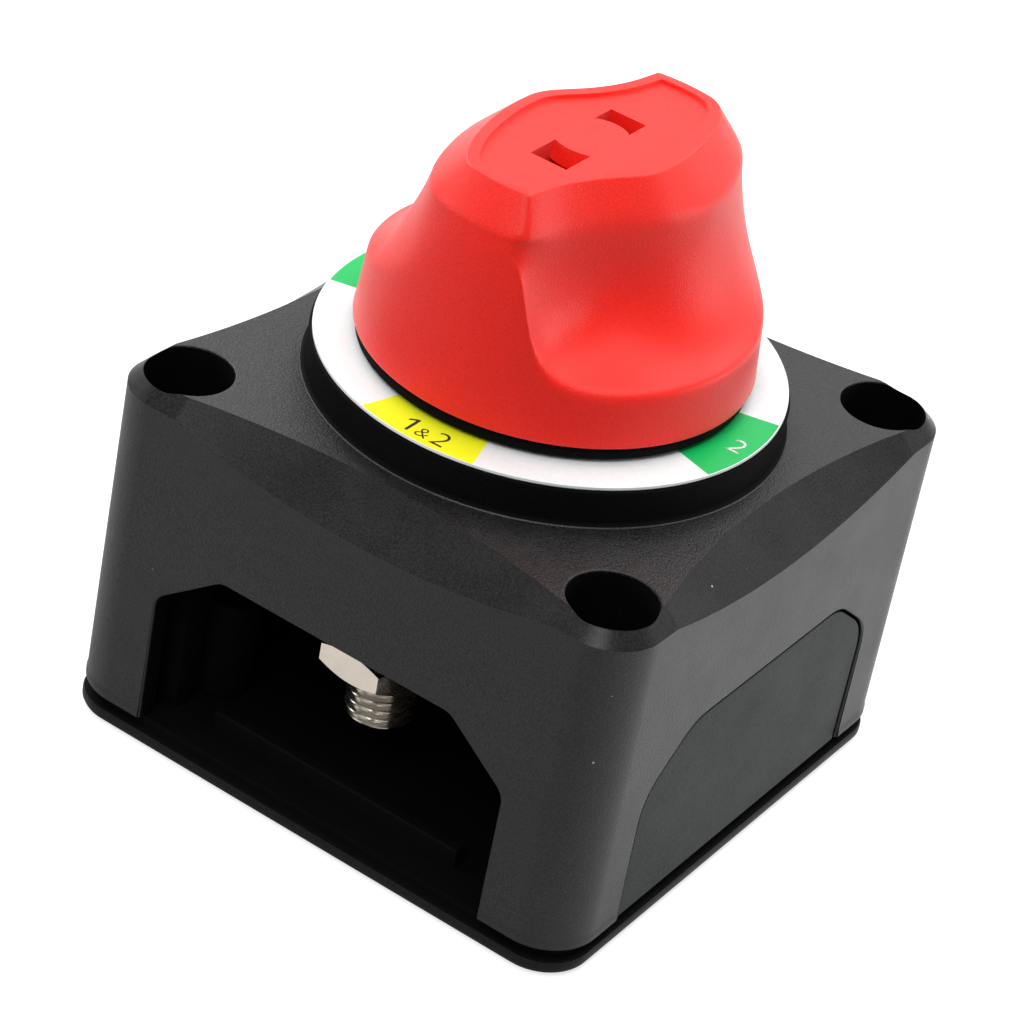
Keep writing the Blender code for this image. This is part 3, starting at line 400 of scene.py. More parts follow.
def shared_group(name, inputs, outputs):
    """An empty node group with float inputs, given as {name: default}, and named float outputs."""
    tree = bpy.data.node_groups.new(name, "ShaderNodeTree")
    place = tree.interface.new_socket("Place", in_out="INPUT", socket_type="NodeSocketVector")
    place.hide_value = True
    for label, value in inputs.items():
        tree.interface.new_socket(label, in_out="INPUT", socket_type="NodeSocketFloat").default_value = value
    for label in outputs:
        tree.interface.new_socket(label, in_out="OUTPUT", socket_type="NodeSocketFloat")
    nodes = Nodes(tree)
    return tree, nodes, nodes.add("NodeGroupInput").outputs


def moulded_grain():
    """Fine spark-eroded grain of moulded plastic, with a slow change of gloss and tone."""
    name = "Moulded grain"
    if name in bpy.data.node_groups:
        return bpy.data.node_groups[name]
    tree, nodes, given = shared_group(name, {"Size": 0.2, "Patch": 6.0}, ("Height", "Tone", "Gloss"))
    fine = nodes.maths("DIVIDE", 1000.0, given["Size"])
    broad = nodes.maths("DIVIDE", 1000.0, given["Patch"])
    grain = nodes.add(
        "ShaderNodeTexNoise", {"Vector": given["Place"], "Scale": fine, "Detail": 2.0, "Roughness": 0.6}
    )
    patches = nodes.add(
        "ShaderNodeTexNoise", {"Vector": given["Place"], "Scale": broad, "Detail": 3.0, "Roughness": 0.55}
    )
    tone = nodes.maths("MULTIPLY_ADD", patches.outputs[0], 0.15, nodes.maths("MULTIPLY", grain.outputs[0], 0.85))
    strong = nodes.add("ShaderNodeMapRange", {"Value": tone, "From Min": 0.38, "From Max": 0.62}).outputs[0]
    gloss = nodes.maths("SUBTRACT", patches.outputs[0], 0.5)
    nodes.add("NodeGroupOutput", {"Height": grain.outputs[0], "Tone": strong, "Gloss": gloss})
    return tree


def settled_dust():
    """Sparse pale specks, each a fraction of a millimetre across."""
    name = "Settled dust"
    if name in bpy.data.node_groups:
        return bpy.data.node_groups[name]
    tree, nodes, given = shared_group(name, {"Spacing": 2.5, "Amount": 0.12}, ("Mask",))
    scale = nodes.maths("DIVIDE", 1000.0, given["Spacing"])
    cells = nodes.add("ShaderNodeTexVoronoi", {"Vector": given["Place"], "Scale": scale})
    parts = nodes.add("ShaderNodeSeparateColor", {"Color": cells.outputs["Color"]})
    kept = nodes.maths("LESS_THAN", parts.outputs[0], given["Amount"])
    size = nodes.maths("MULTIPLY_ADD", parts.outputs[1], 0.035, 0.025)
    near = nodes.maths("LESS_THAN", cells.outputs["Distance"], size)
    nodes.add("NodeGroupOutput", {"Mask": nodes.maths("MULTIPLY", kept, near)})
    return tree


def machined_marks():
    """Fine tool marks and faint stains on turned or stamped metal."""
    name = "Machined marks"
    if name in bpy.data.node_groups:
        return bpy.data.node_groups[name]
    tree, nodes, given = shared_group(name, {"Size": 0.15, "Stain": 3.0}, ("Height", "Tone", "Gloss"))
    fine = nodes.maths("DIVIDE", 1000.0, given["Size"])
    broad = nodes.maths("DIVIDE", 1000.0, given["Stain"])
    stretch = nodes.add("ShaderNodeMapping", {"Vector": given["Place"], "Scale": (1.0, 1.0, 0.12)})
    marks = nodes.add("ShaderNodeTexNoise", {"Vector": stretch.outputs[0], "Scale": fine, "Detail": 3.0})
    stains = nodes.add("ShaderNodeTexNoise", {"Vector": given["Place"], "Scale": broad, "Detail": 4.0})
    gloss = nodes.maths("SUBTRACT", stains.outputs[0], 0.5)
    nodes.add("NodeGroupOutput", {"Height": marks.outputs[0], "Tone": stains.outputs[0], "Gloss": gloss})
    return tree


# Finishes


def new_material(name):
    material = bpy.data.materials.new(name)
    material.use_nodes = True
    nodes = Nodes(material.node_tree)
    shader = material.node_tree.nodes["Principled BSDF"]
    shader.location = (3200, 0)
    material.node_tree.nodes["Material Output"].location = (3500, 0)
    place = nodes.add("ShaderNodeTexCoord").outputs["Object"]
    return material, nodes, shader, place


def placed(nodes, tree, place, **inputs):
    return nodes.add("ShaderNodeGroup", {"Place": place, **inputs}, node_tree=tree).outputs


def roughen(nodes, shader, height, depth, strength):
    bump = nodes.add("ShaderNodeBump", {"Height": height, "Distance": depth, "Strength": strength})
    nodes.tree.links.new(bump.outputs[0], shader.inputs["Normal"])


def vary_roughness(nodes, shader, middle, gloss, amount):
    rough = nodes.maths("MULTIPLY_ADD", gloss, amount, middle)
    nodes.tree.links.new(rough, shader.inputs["Roughness"])


def moulded(name, base, roughness, grain_size=0.2, depth=0.05, speckle=0.5, dust=0.0, level=0.33, sheen=0.0, ink=None):
    """Moulded plastic: fine grain, slow patches of gloss and, where asked for, dust."""
    material, nodes, shader, place = new_material(name)
    grain = placed(nodes, moulded_grain(), place, Size=grain_size)
    dark = (*[value * (1 - speckle) for value in base], 1.0)
    pale = (*[min(1.0, value * (1 + speckle)) for value in base], 1.0)
    colour_now = nodes.blend(grain["Tone"], dark, pale)
    if ink:
        colour_now = ink(nodes, place, colour_now)
    if dust:
        specks = placed(nodes, settled_dust(), place, Amount=dust)["Mask"]
        colour_now = nodes.blend(specks, colour_now, (0.5, 0.5, 0.48, 1.0))
    nodes.tree.links.new(colour_now, shader.inputs["Base Color"])
    vary_roughness(nodes, shader, roughness, grain["Gloss"], 0.18)
    roughen(nodes, shader, grain["Height"], depth * MM, 1.0)
    shader.inputs["Specular IOR Level"].default_value = level
    shader.inputs["Sheen Weight"].default_value = sheen
    return material


def metal(name, base, roughness, mark_size=0.15, depth=0.01, strength=0.2):
    """Bare or plated metal with fine marks and faint stains."""
    material, nodes, shader, place = new_material(name)
    marks = placed(nodes, machined_marks(), place, Size=mark_size)
    dull = (*[value * 0.8 for value in base], 1.0)
    bright = (*[min(1.0, value * 1.1) for value in base], 1.0)
    nodes.tree.links.new(nodes.blend(marks["Tone"], dull, bright), shader.inputs["Base Color"])
    vary_roughness(nodes, shader, roughness, marks["Gloss"], 0.25)
    roughen(nodes, shader, marks["Height"], depth * MM, strength)
    shader.inputs["Metallic"].default_value = 1.0
    return material


def sector_mask(nodes, place, degrees, half_degrees):
    """1 within the half angle of a direction about the axis, else 0."""
    turn = nodes.add("ShaderNodeMapping", {"Vector": place, "Rotation": (0, 0, math.radians(-degrees))})
    parts = nodes.add("ShaderNodeSeparateXYZ", {"Vector": turn.outputs[0]})
    slope = math.tan(math.radians(half_degrees))
    limit = nodes.maths("MULTIPLY", parts.outputs["X"], slope)
    return nodes.maths("LESS_THAN", nodes.maths("ABSOLUTE", parts.outputs["Y"]), limit)


def dial_print(dial):
    """White film with a yellow sector to the front and a green one to each side, clear of its cut edge."""

    def ink(nodes, place, film):
        parts = nodes.add("ShaderNodeSeparateXYZ", {"Vector": place})
        across = nodes.maths("POWER", parts.outputs["X"], 2.0)
        along = nodes.maths("POWER", parts.outputs["Y"], 2.0)
        reach = nodes.maths("SQRT", nodes.maths("ADD", across, along))
        inside = nodes.maths("LESS_THAN", reach, dial.radius - 0.12 * MM)
        now = film
        for degrees, tone in ((-90, dial.yellow), (0, dial.green), (180, dial.green)):
            mask = sector_mask(nodes, place, degrees, dial.sector_degrees)
            now = nodes.blend(nodes.maths("MULTIPLY", mask, inside), now, (*tone, 1.0))
        return now

    return moulded("Dial print", dial.white, 0.42, grain_size=0.5, depth=0.001, speckle=0.02, ink=ink)


# Case


def painted_shade_black(case):
    """Painted shade: a matt near-black finish for faces where shade falls, inside the case, in its bores, on the
    collar's wall, on the plate's inner faces and on the knob's foot.
    """
    name = "Dull black"
    return bpy.data.materials.get(name) or moulded(name, case.painted_shade_colour, 0.7, level=0.04)


def finish_faces(piece, material, test):
    """Gives another finish to those faces of a dressed piece that pass the test."""
    piece.data.materials.append(material)
    for face in piece.data.polygons:
        if test(face):
            face.material_index = len(piece.data.materials) - 1


def inside_case(case, place):
    """True inside the case's walls, in its corner bores and on its collar's wall, where the case gets its painted
    shade.
    """
    x, y, z = abs(place.x), abs(place.y), place.z
    if z > case.top_height - 0.3 * MM:
        return 0 < case.collar_radius - math.hypot(x, y) + 0.3 * MM < 0.5 * MM
    if math.hypot(x - case.hole_offset, y - case.hole_offset) < case.bore_radius + 0.05 * MM:
        return True
    straight = CASE_HALF - case.corner_radius
    reach = math.hypot(max(x - straight, 0), max(y - straight, 0))
    return reach < case.corner_radius - 0.2 * MM and max(x, y) + z < 74 * MM


def window_outline(grow, foot, size):
    """The cable window as (along, height) points, its edge moved out by grow and its corners rounded to a size."""
    top = 26.8 * MM + grow
    half = 23.7 * MM + grow
    shoulder = 20.5 * MM + grow / 2
    top_half = 15.5 * MM + grow / 2
    right = [(half, foot), (half, shoulder), (top_half, top)]
    left = [(-along, height) for along, height in reversed(right)]
    return rounded_corners([*right, *left], (0, size, size, size, size, 0), 8)


def window_solid(name, steps, foot, size, quarter=0):
    """A block with the window's outline, from (depth, grow) pairs counted out from the axis."""
    turn = Matrix.Rotation(math.radians(90 * quarter), 3, "Z")
    rings = []
    for depth, grow in steps:
        rings.append([turn @ Vector((p.x, -depth, p.y)) for p in window_outline(grow, foot, size)])
    return lofted(name, rings)


def edge_scoop(case):
    """The cutter that sweeps a long shallow hollow across the top edge of the -Y side."""
    slope = Vector((0, -1, 1)).normalized()
    along_slope = Vector((0, 1, 1)).normalized()
    edge = Vector((0, -CASE_HALF, case.top_height))
    axis = edge + slope * (case.scoop_radius - case.scoop_depth)
    half = 42 * MM
    steps = 72
    arc = []
    for i in range(steps + 1):
        x = half * (2 * i / steps - 1)
        arc.append(axis + Vector((x, 0, 0)) - slope * math.sqrt(case.scoop_radius**2 - x**2))
    far = slope * 30 * MM
    ring = [*arc, arc[-1] + far, arc[0] + far]
    return lofted("edge_scoop", [[p + along_slope * s * 24 * MM for p in ring] for s in (-1, 1)])


def case_shell(case):
    low = HOUSING_LOW.z
    lip = HOUSING_HIGH.x - CASE_HALF - 0.001 * MM
    draft = case.draft
    top = case.top_height
    chamfer = case.edge_chamfer
    steps = [
        (draft, low),
        (lip, low + 0.15 * MM),
        (lip, low + 0.8 * MM),
        (draft, low + 1.1 * MM),
        (0.0, top - chamfer),
        (-chamfer, top),
    ]
    radius = case.corner_radius
    return lofted("case_moulding", [rounded_square(CASE_HALF + out, radius + out, z) for out, z in steps])


def corner_bore(case):
    """Counterbore and hole for one fixing screw, with a broken rim."""
    seat = case.top_height - 14 * MM
    rim = case.top_height
    edge = case.edge_break
    profile = [
        (case.hole_radius, HOUSING_LOW.z - 3 * MM),
        (case.hole_radius, seat),
        (case.bore_radius, seat + 0.01 * MM),
        (case.bore_radius, rim - edge),
        (case.bore_radius + edge * 0.3, rim - edge * 0.3),
        (case.bore_radius + edge, rim),
        (case.bore_radius + edge, rim + 5 * MM),
    ]
    return turned("corner_bore", profile, 72, case.hole_offset, case.hole_offset)


def build_case(case):
    shell = case_shell(case)
    carve(shell, round_the_case(edge_scoop(case)))
    low = HOUSING_LOW.z
    top = case.top_height
    ceiling = top - 3 * MM
    inner = CASE_HALF - case.wall
    corner = case.corner_radius - case.wall
    carve(
        shell,
        lofted("chamber", [rounded_square(inner, corner, z, 8) for z in (low - 3 * MM, ceiling - 5.5 * MM)]),
        lofted(
            "upper_chamber",
            [rounded_square(CASE_HALF - 5.4 * MM, corner, z, 8) for z in (ceiling - 8.1 * MM, ceiling)],
        ),
    )
    offset = case.hole_offset
    radius = case.collar_radius
    collar_top = HOUSING_HIGH.z
    pillar = turned("pillar", [(6.0 * MM, low), (6.0 * MM, top - 2.5 * MM)], 48, offset, offset)
    boss = turned("cover_boss", [(3.4 * MM, low), (3.4 * MM, low + 12.5 * MM)], 32, 22 * MM, 22 * MM)
    post = turned("carrier_post", [(3.2 * MM, 30.3 * MM), (3.2 * MM, ceiling + MM)], 32, 16.5 * MM, 16.5 * MM)
    collar = turned(
        "collar",
        [
            (radius + 0.55 * MM, top - MM),
            (radius + 0.55 * MM, top + 0.10 * MM),
            (radius + 0.45 * MM, top + 0.25 * MM),
            (radius + 0.15 * MM, top + 0.40 * MM),
            (radius, top + 0.70 * MM),
            (radius, collar_top - 0.30 * MM),
            (radius - 0.08 * MM, collar_top - 0.10 * MM),
            (radius - 0.28 * MM, collar_top),
        ],
        160,
    )
    blocks = [
        plain_box("detent_block", (-4.2 * MM, near, 35.99 * MM), (4.2 * MM, far, ceiling + 0.4 * MM))
        for near, far in ((-31.7 * MM, -19.5 * MM), (19.5 * MM, 31.7 * MM))
    ]
    weld(shell, round_the_case(pillar), round_the_case(boss), round_the_case(post), collar, *blocks)
    bush = 11.5 * MM
    pocket = turned("collar_pocket", [(19 * MM, ceiling - 0.3 * MM), (19 * MM, collar_top - 3 * MM)], 96)
    carve(pocket, turned("bush", [(bush, ceiling - MM), (bush, collar_top)], 64))
    cover_pilot = turned("cover_pilot", [(1.75 * MM, low - MM), (1.75 * MM, 13.3 * MM)], 24, 22 * MM, 22 * MM)
    carrier_pilot = turned(
        "carrier_pilot", [(1.75 * MM, 30 * MM), (1.75 * MM, 38.1 * MM)], 24, 16.5 * MM, 16.5 * MM
    )
    carve(
        shell,
        pocket,
        turned("shaft_bore", [(8.3 * MM, ceiling - 3 * MM), (8.3 * MM, collar_top + 3 * MM)], 96),
        round_the_case(corner_bore(case)),
        round_the_case(cover_pilot),
        round_the_case(carrier_pilot),
    )
    for turn in (90, -90):
        bore = turned("detent_bore", [(2.3 * MM, 17.5 * MM), (2.3 * MM, 30.52 * MM)], 24)
        lay = Matrix.Translation((0, 0, 39.7 * MM)) @ Matrix.Rotation(math.radians(turn), 4, "X")
        bore.data.transform(lay)
        carve(shell, bore)
    edge = case.edge_break
    foot = low - 3 * MM
    face = CASE_HALF + case.draft / 2
    opening = [
        (inner - 0.3 * MM, 0.0),
        (face - edge, 0.0),
        (face - edge * 0.3, edge * 0.3),
        (face, edge),
        (face + 3 * MM, edge),
    ]
    slot = [(29.9 * MM, 1.7 * MM), (inner + 0.2 * MM, 1.7 * MM)]
    for quarter in QUARTERS:
        size = case.panel_corner if quarter in SIDES.values() else case.window_corner
        carve(
            shell,
            window_solid("window", opening, foot, size, quarter),
            window_solid("tongue_slot", slot, foot, size, quarter),
        )
    finish = moulded("Black moulding", case.shell_colour, 0.38, depth=0.08, speckle=0.9, dust=0.15)
    dress(shell, finish, "case", "case_plastic", "housing")
    smooth = moulded("Smooth black", case.shell_colour, 0.3, depth=0.02, speckle=0.9, dust=0.15, level=0.16)
    finish_faces(shell, smooth, lambda f: 0.5 < f.normal.z < 0.9 and f.center.z < top)
    # Painted shade: faces inside the case, in its bores and on the collar's wall take the near-black painted shade
    # finish.
    finish_faces(shell, painted_shade_black(case), lambda f: inside_case(case, f.center))
    return shell


class SWITCH_OT_case(bpy.types.Operator):
    """Models the case with its scooped edges, collar, corner bores and cable windows"""

    bl_idname = "battery_switch.case"
    bl_label = "Case"

    def execute(self, context):
        build_case(context.scene.switch_case)
        return {"FINISHED"}


# Base plate and panels


def build_base_plate(case):
    half = CASE_HALF + case.draft
    corner = 6.0 * MM
    thick = 2.2 * MM
    step = 3.4 * MM
    plate_steps = [
        (-2.0 * MM, 0.0),
        (-0.9 * MM, 0.25 * MM),
        (-0.2 * MM, 0.6 * MM),
        (0.0, 1.0 * MM),
        (0.0, thick - 0.5 * MM),
        (-0.12 * MM, thick - 0.18 * MM),
        (-0.45 * MM, thick),
        (-1.2 * MM, thick + 0.02 * MM),
        (-1.2 * MM, step),
    ]
    plate = lofted("base_plate", [rounded_square(half + out, corner + out, z) for out, z in plate_steps])
    rim = plain_box("plate_rim", (-17 * MM, -29.6 * MM, thick), (17 * MM, -28.0 * MM, COVER_HIGH.z))
    with edit_mode(rim):
        pick(rim, "EDGE", lambda e: min(v.co.z for v in e.verts) > step)
        bpy.ops.mesh.bevel(offset=0.3 * MM, segments=3, affect="EDGES")
    weld(plate, round_the_case(rim))
    edge = case.edge_break
    hole = case.hole_radius
    offset = case.hole_offset
    fixing = turned(
        "fixing_hole", [(hole + edge, -MM), (hole + edge, 0.0), (hole, edge), (hole, 5 * MM)], 48, offset, offset
    )
    seat = turned(
        "screw_seat",
        [(3.2 * MM, -MM), (3.2 * MM, 0.0), (3.0 * MM, 0.2 * MM), (3.0 * MM, 2.4 * MM)],
        48,
        22 * MM,
        22 * MM,
    )
    shank = turned("screw_hole", [(1.75 * MM, MM), (1.75 * MM, 5 * MM)], 32, 22 * MM, 22 * MM)
    carve(plate, round_the_case(fixing), round_the_case(seat), round_the_case(shank))
    finish = moulded("Black plate", case.shell_colour, 0.45, dust=0.05, level=0.1)
    dress(plate, finish, "case", "case_plastic", "rear_cover")
    # Painted shade: the plate's faces above its rim step, in the groove under the case and inside it, take the
    # near-black painted shade finish.
    finish_faces(plate, painted_shade_black(case), lambda f: f.center.z > thick - 0.1 * MM)
    return plate


class SWITCH_OT_base_plate(bpy.types.Operator):
    """Models the base plate with its rims, screw seats and fixing holes"""

    bl_idname = "battery_switch.base_plate"
    bl_label = "Base plate"

    def execute(self, context):
        build_base_plate(context.scene.switch_case)
        return {"FINISHED"}


def build_panels(case):
    foot = HOUSING_LOW.z
    face = CASE_HALF
    edge = 0.2 * MM
    fit = -0.3 * MM
    front = [(31.0 * MM, fit), (face - edge, fit), (face - 0.3 * edge, fit - 0.3 * edge), (face, fit - edge)]
    tongue = [(30.5 * MM, 1.2 * MM), (30.7 * MM, 1.4 * MM), (31.7 * MM, 1.4 * MM)]
    first = window_solid("window_panel", front, foot, case.panel_corner)
    weld(first, window_solid("panel_tongue", tongue, foot, case.panel_corner))
    finish = moulded("Panel moulding", case.panel_colour, 0.38, grain_size=0.3, depth=0.03, dust=0.25, level=0.06)
    for side, quarter in SIDES.items():
        turn = Matrix.Rotation(math.radians(90 * quarter), 4, "Z")
        panel = copied(first, f"window_panel_{side}", turn)
        dress(panel, finish, "case", "panel_plastic", f"panel_{side}")
    bpy.data.objects.remove(first)


class SWITCH_OT_panels(bpy.types.Operator):
    """Models the slide-in panels that close three of the cable windows"""

    bl_idname = "battery_switch.panels"
    bl_label = "Window panels"

    def execute(self, context):
        build_panels(context.scene.switch_case)
        return {"FINISHED"}


# Terminals and screws


def threaded(name, radius, pitch, depth, low, high, chamfer, x, y, count=48):
    """A threaded shank: rings close together, each point let in by where it is on the thread."""
    rings = []
    rings_per_turn = 12
    total = int((high - low) / pitch * rings_per_turn)
    for ring_number in range(total + 1):
        z = low + (high - low) * ring_number / total
        ring = []
        for i in range(count):
            turn = i / count
            phase = (z / pitch - turn) % 1.0
            crest = min(1.0, max(0.0, abs(phase - 0.5) * 2.5 - 0.15))
            tip = min(1.0, (z - low) / chamfer)
            reach = radius - depth * (1 - crest)
            reach = min(reach, radius - chamfer * (1 - tip))
            angle = math.tau * turn
            ring.append(Vector((x + reach * math.cos(angle), y + reach * math.sin(angle), z)))
        rings.append(ring)
    return lofted(name, rings)


def build_nut(low, high, settings):
    """A thin hexagon nut on the axis, coned off on both faces, one flat nearly to the front."""
    high = low + settings.nut_height
    corner = settings.nut_flats / math.sqrt(3)
    deselect()
    bpy.ops.mesh.primitive_cylinder_add(vertices=6, radius=corner, depth=high - low, location=(0, 0, 0))
    nut = bpy.context.object
    nut.name = "terminal_nut"
    nut.data.transform(Matrix.Translation((0, 0, (low + high) / 2)) @ Matrix.Rotation(math.radians(26), 4, "Z"))
    cone = corner - 6.8 * MM
    slant = 0.7
    profile = [
        (6.8 * MM, low),
        (corner + 0.3 * MM, low + (cone + 0.3 * MM) * slant),
        (corner + 0.3 * MM, high - (cone + 0.3 * MM) * slant),
        (6.8 * MM, high),
    ]
    combine(nut, turned("nut_cone", profile, 128), "INTERSECT")
    bore = settings.stud_radius + 0.3 * MM
    rim = bore + 0.4 * MM
    hole = [
        (rim, low - MM),
        (rim, low),
        (bore, low + 0.4 * MM),
        (bore, high - 0.4 * MM),
        (rim, high),
        (rim, high + MM),
    ]
    carve(nut, turned("nut_bore", hole, 64))
    return nut


def build_washer(low, high, settings):
    """A flat washer with a split spring washer under it, on the axis."""
    edge = 0.25 * MM
    outer = 7.3 * MM
    ring = 6.4 * MM
    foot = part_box("nut_common")[0].z + settings.nut_height + 0.02 * MM
    washer = turned(
        "terminal_washer",
        [
            (ring - edge, foot),
            (ring, foot + edge),
            (ring, low - edge),
            (ring - edge, low),
            (outer - edge, low + 0.02 * MM),
            (outer, low + edge),
            (outer, high - edge),
            (outer - edge, high),
        ],
        96,
    )
    hole = settings.stud_radius + 0.3 * MM
    split = plain_box("washer_split", (-0.4 * MM, 3 * MM, foot - MM), (0.4 * MM, 8 * MM, low))
    carve(washer, turned("washer_hole", [(hole, foot - MM), (hole, high + MM)], 64), split)
    return washer


def build_stud(low, high, settings):
    """A stud on the axis: a thread below and a round head above."""
    low = low - settings.stud_tail
    head_low = high - 2.6 * MM
    radius = settings.stud_radius
    depth = 0.61 * settings.pitch
    stud = threaded("terminal_stud", radius, settings.pitch, depth, low, 26 * MM, 0.8 * MM, 0, 0)
    head = 5.8 * MM
    upper = turned(
        "stud_head",
        [
            (radius - 0.1 * MM, 25.5 * MM),
            (radius - 0.1 * MM, head_low),
            (head - 0.2 * MM, head_low + 0.01 * MM),
            (head, head_low + 0.2 * MM),
            (head, high - 0.5 * MM),
            (head - 0.5 * MM, high),
        ],
        64,
    )
    weld(stud, upper)
    return stud


def build_terminals(settings):
    plated = metal("Tinned terminal", settings.tin, 0.14)
    # The studs take the darkened tin, a painted shade for the dark chamber they stand in.
    finishes = {"stud": metal("Dull stud", settings.shade_darkened_tin, 0.25), "washer": plated, "nut": plated}
    makers = {"stud": build_stud, "washer": build_washer, "nut": build_nut}
    for kind, maker in makers.items():
        low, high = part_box(f"{kind}_common")
        first = maker(low.z, high.z, settings)
        for name in TERMINALS:
            near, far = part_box(f"{kind}_{name}")
            middle = (near + far) / 2
            turn = 0 if abs(middle.x) < MM else 90
            place = Matrix.Translation((middle.x, middle.y, 0)) @ Matrix.Rotation(math.radians(turn), 4, "Z")
            piece = copied(first, f"terminal_{kind}_{name}", place)
            dress(piece, finishes[kind], "case", "tinned_metal", f"{kind}_{name}", angle=40)
        bpy.data.objects.remove(first)


class SWITCH_OT_terminals(bpy.types.Operator):
    """Models the threaded studs with their washers and nuts"""

    bl_idname = "battery_switch.terminals"
    bl_label = "Terminals"

    def execute(self, context):
        build_terminals(context.scene.switch_terminals)
        return {"FINISHED"}


def build_screw(name, low, high):
    """A pan-headed screw on the axis, head down, with a cross recess."""
    head = 2.7 * MM
    shank = 1.45 * MM
    screw = turned(
        name,
        [
            (head - 0.9 * MM, low),
            (head - 0.35 * MM, low + 0.2 * MM),
            (head - 0.05 * MM, low + 0.7 * MM),
            (head, low + 1.1 * MM),
            (head, low + 1.8 * MM),
            (shank, low + 1.81 * MM),
            (shank, high - shank),
            (shank * 0.4, high),
        ],
        40,
    )
    for turn in (0, 90):
        slot = plain_box("cross_recess", (-1.5 * MM, -0.28 * MM, low - MM), (1.5 * MM, 0.28 * MM, low + 0.9 * MM))
        with edit_mode(slot):
            pick(slot, "FACE", lambda f: f.normal.z > 0.5)
            bpy.ops.transform.resize(value=(0.5, 1.0, 1.0), center_override=(0, 0, low + 0.9 * MM))
        slot.data.transform(Matrix.Rotation(math.radians(turn), 4, "Z"))
        carve(screw, slot)
    return screw


def build_screws(settings):
    finish = metal("Plated steel", settings.steel, 0.34)
    for kind in ("cover_screw", "carrier_screw"):
        low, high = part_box(f"{kind}_1")
        first = build_screw(kind, low.z, high.z)
        for number in range(1, 5):
            near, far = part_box(f"{kind}_{number}")
            middle = (near + far) / 2
            turn = Matrix.Rotation(math.radians(37 * number), 4, "Z")
            piece = copied(first, f"{kind}_piece_{number}", Matrix.Translation((middle.x, middle.y, 0)) @ turn)
            dress(piece, finish, "case", "steel", f"{kind}_{number}", angle=40)
        bpy.data.objects.remove(first)


class SWITCH_OT_screws(bpy.types.Operator):
    """Models the screws of the base plate and of the contact carrier"""

    bl_idname = "battery_switch.screws"
    bl_label = "Screws"

    def execute(self, context):
        build_screws(context.scene.switch_terminals)
        return {"FINISHED"}


# Dial


def build_dial_film(dial):
    low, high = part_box("dial_label")
    film = turned("dial_film", [(dial.radius, low.z), (dial.radius, high.z)], 192)
    carve(film, turned("film_hole", [(12 * MM, low.z - MM), (12 * MM, high.z + MM)], 96))
    return dress(film, dial_print(dial), "case", "dial_print", "dial_label")


def printed_word(text, size, x, y, level):
    """Flat figures of a given height as a mesh, centred at a place on the dial."""
    deselect()
    bpy.ops.object.text_add(location=(0, 0, 0))
    word = bpy.context.object
    word.data.body = text
    word.data.offset = -0.012
    bpy.ops.object.convert(target="MESH")
    word = bpy.context.object
    xs, ys = ([vert.co[axis] for vert in word.data.vertices] for axis in (0, 1))
    middle = Vector((min(xs) + max(xs), min(ys) + max(ys), 0)) / 2
    scale = Matrix.Scale(size / (max(ys) - min(ys)), 4)
    word.data.transform(Matrix.Translation((x, y, level)) @ scale @ Matrix.Translation(-middle))
    with edit_mode(word):
        bpy.ops.mesh.select_all(action="SELECT")
        bpy.ops.mesh.remove_doubles(threshold=1e-6)
        bpy.ops.mesh.extrude_region_move(TRANSFORM_OT_translate={"value": (0, 0, 0.02 * MM)})
    return word


def printed_one(size, x, y, level):
    """A flat figure 1 with its flag, of a given height, its stem centred at a place on the dial."""
    stem = 0.065
    outline = ((-stem, 0), (stem, 0), (stem, 1), (0.5 * stem - stem, 1), (-0.34, 0.8), (-0.34, 0.67), (-stem, 0.84))
    rings = [
        [Vector((x + size * across, y + size * (up - 0.5), height)) for across, up in outline]
        for height in (level, level + 0.02 * MM)
    ]
    return lofted("figure_one", rings)


def build_figures(dial):
    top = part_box("dial_label")[1].z - 0.01 * MM
    size = dial.figure_height
    dark = [
        printed_one(size, -1.4 * MM, -24.35 * MM, top),
        printed_word("&", size * 0.66, 0.3 * MM, -24.8 * MM, top),
        printed_word("2", size, 2.4 * MM, -24.35 * MM, top),
        printed_word("OFF", size * 0.9, 0.0, 24.4 * MM, top),
    ]
    pale = [printed_one(size, -24.5 * MM, 0.0, top), printed_word("2", size, 24.7 * MM, 0.0, top)]
    for name, words, ink in (
        ("dial_dark_figures", dark, (0.02, 0.02, 0.02)),
        ("dial_pale_figures", pale, (0.86, 0.86, 0.86)),
    ):
        deselect()
        for word in words:
            word.select_set(True)
        bpy.context.view_layer.objects.active = words[0]
        bpy.ops.object.join()
        words[0].name = name
        finish = moulded(name.replace("_", " ").capitalize(), ink, 0.45, grain_size=0.3, depth=0.003)
        dress(words[0], finish, "case", "dial_print")


class SWITCH_OT_dial(bpy.types.Operator):
    """Models the printed dial film and its figures"""

    bl_idname = "battery_switch.dial"
    bl_label = "Dial"

    def execute(self, context):
        build_dial_film(context.scene.switch_dial)
        build_figures(context.scene.switch_dial)
        return {"FINISHED"}


# Knob


# One flank of the grip in plan, in mm: the top's rim, and the foot of its bevel
RIM_FLANK = ((3.0, -24.0), (3.5, -17.7), (4.3, -12.9), (6.0, -8.5), (9.0, -3.3), (9.6, 0.5), (9.3, 5.0), (8.5, 9.4))
RIM_FLANK += ((7.3, 13.2), (5.2, 17.2), (2.0, 22.0))
SHOULDER_FLANK = ((5.2, -26.0), (5.7, -19.7), (6.0, -15.6), (7.5, -11.8), (9.2, -8.9), (11.0, -5.9), (12.6, -2.6))
SHOULDER_FLANK += ((13.5, 1.5), (13.5, 4.6), (12.8, 8.3), (11.4, 12.7), (9.6, 16.3), (7.7, 19.3), (4.0, 24.5))

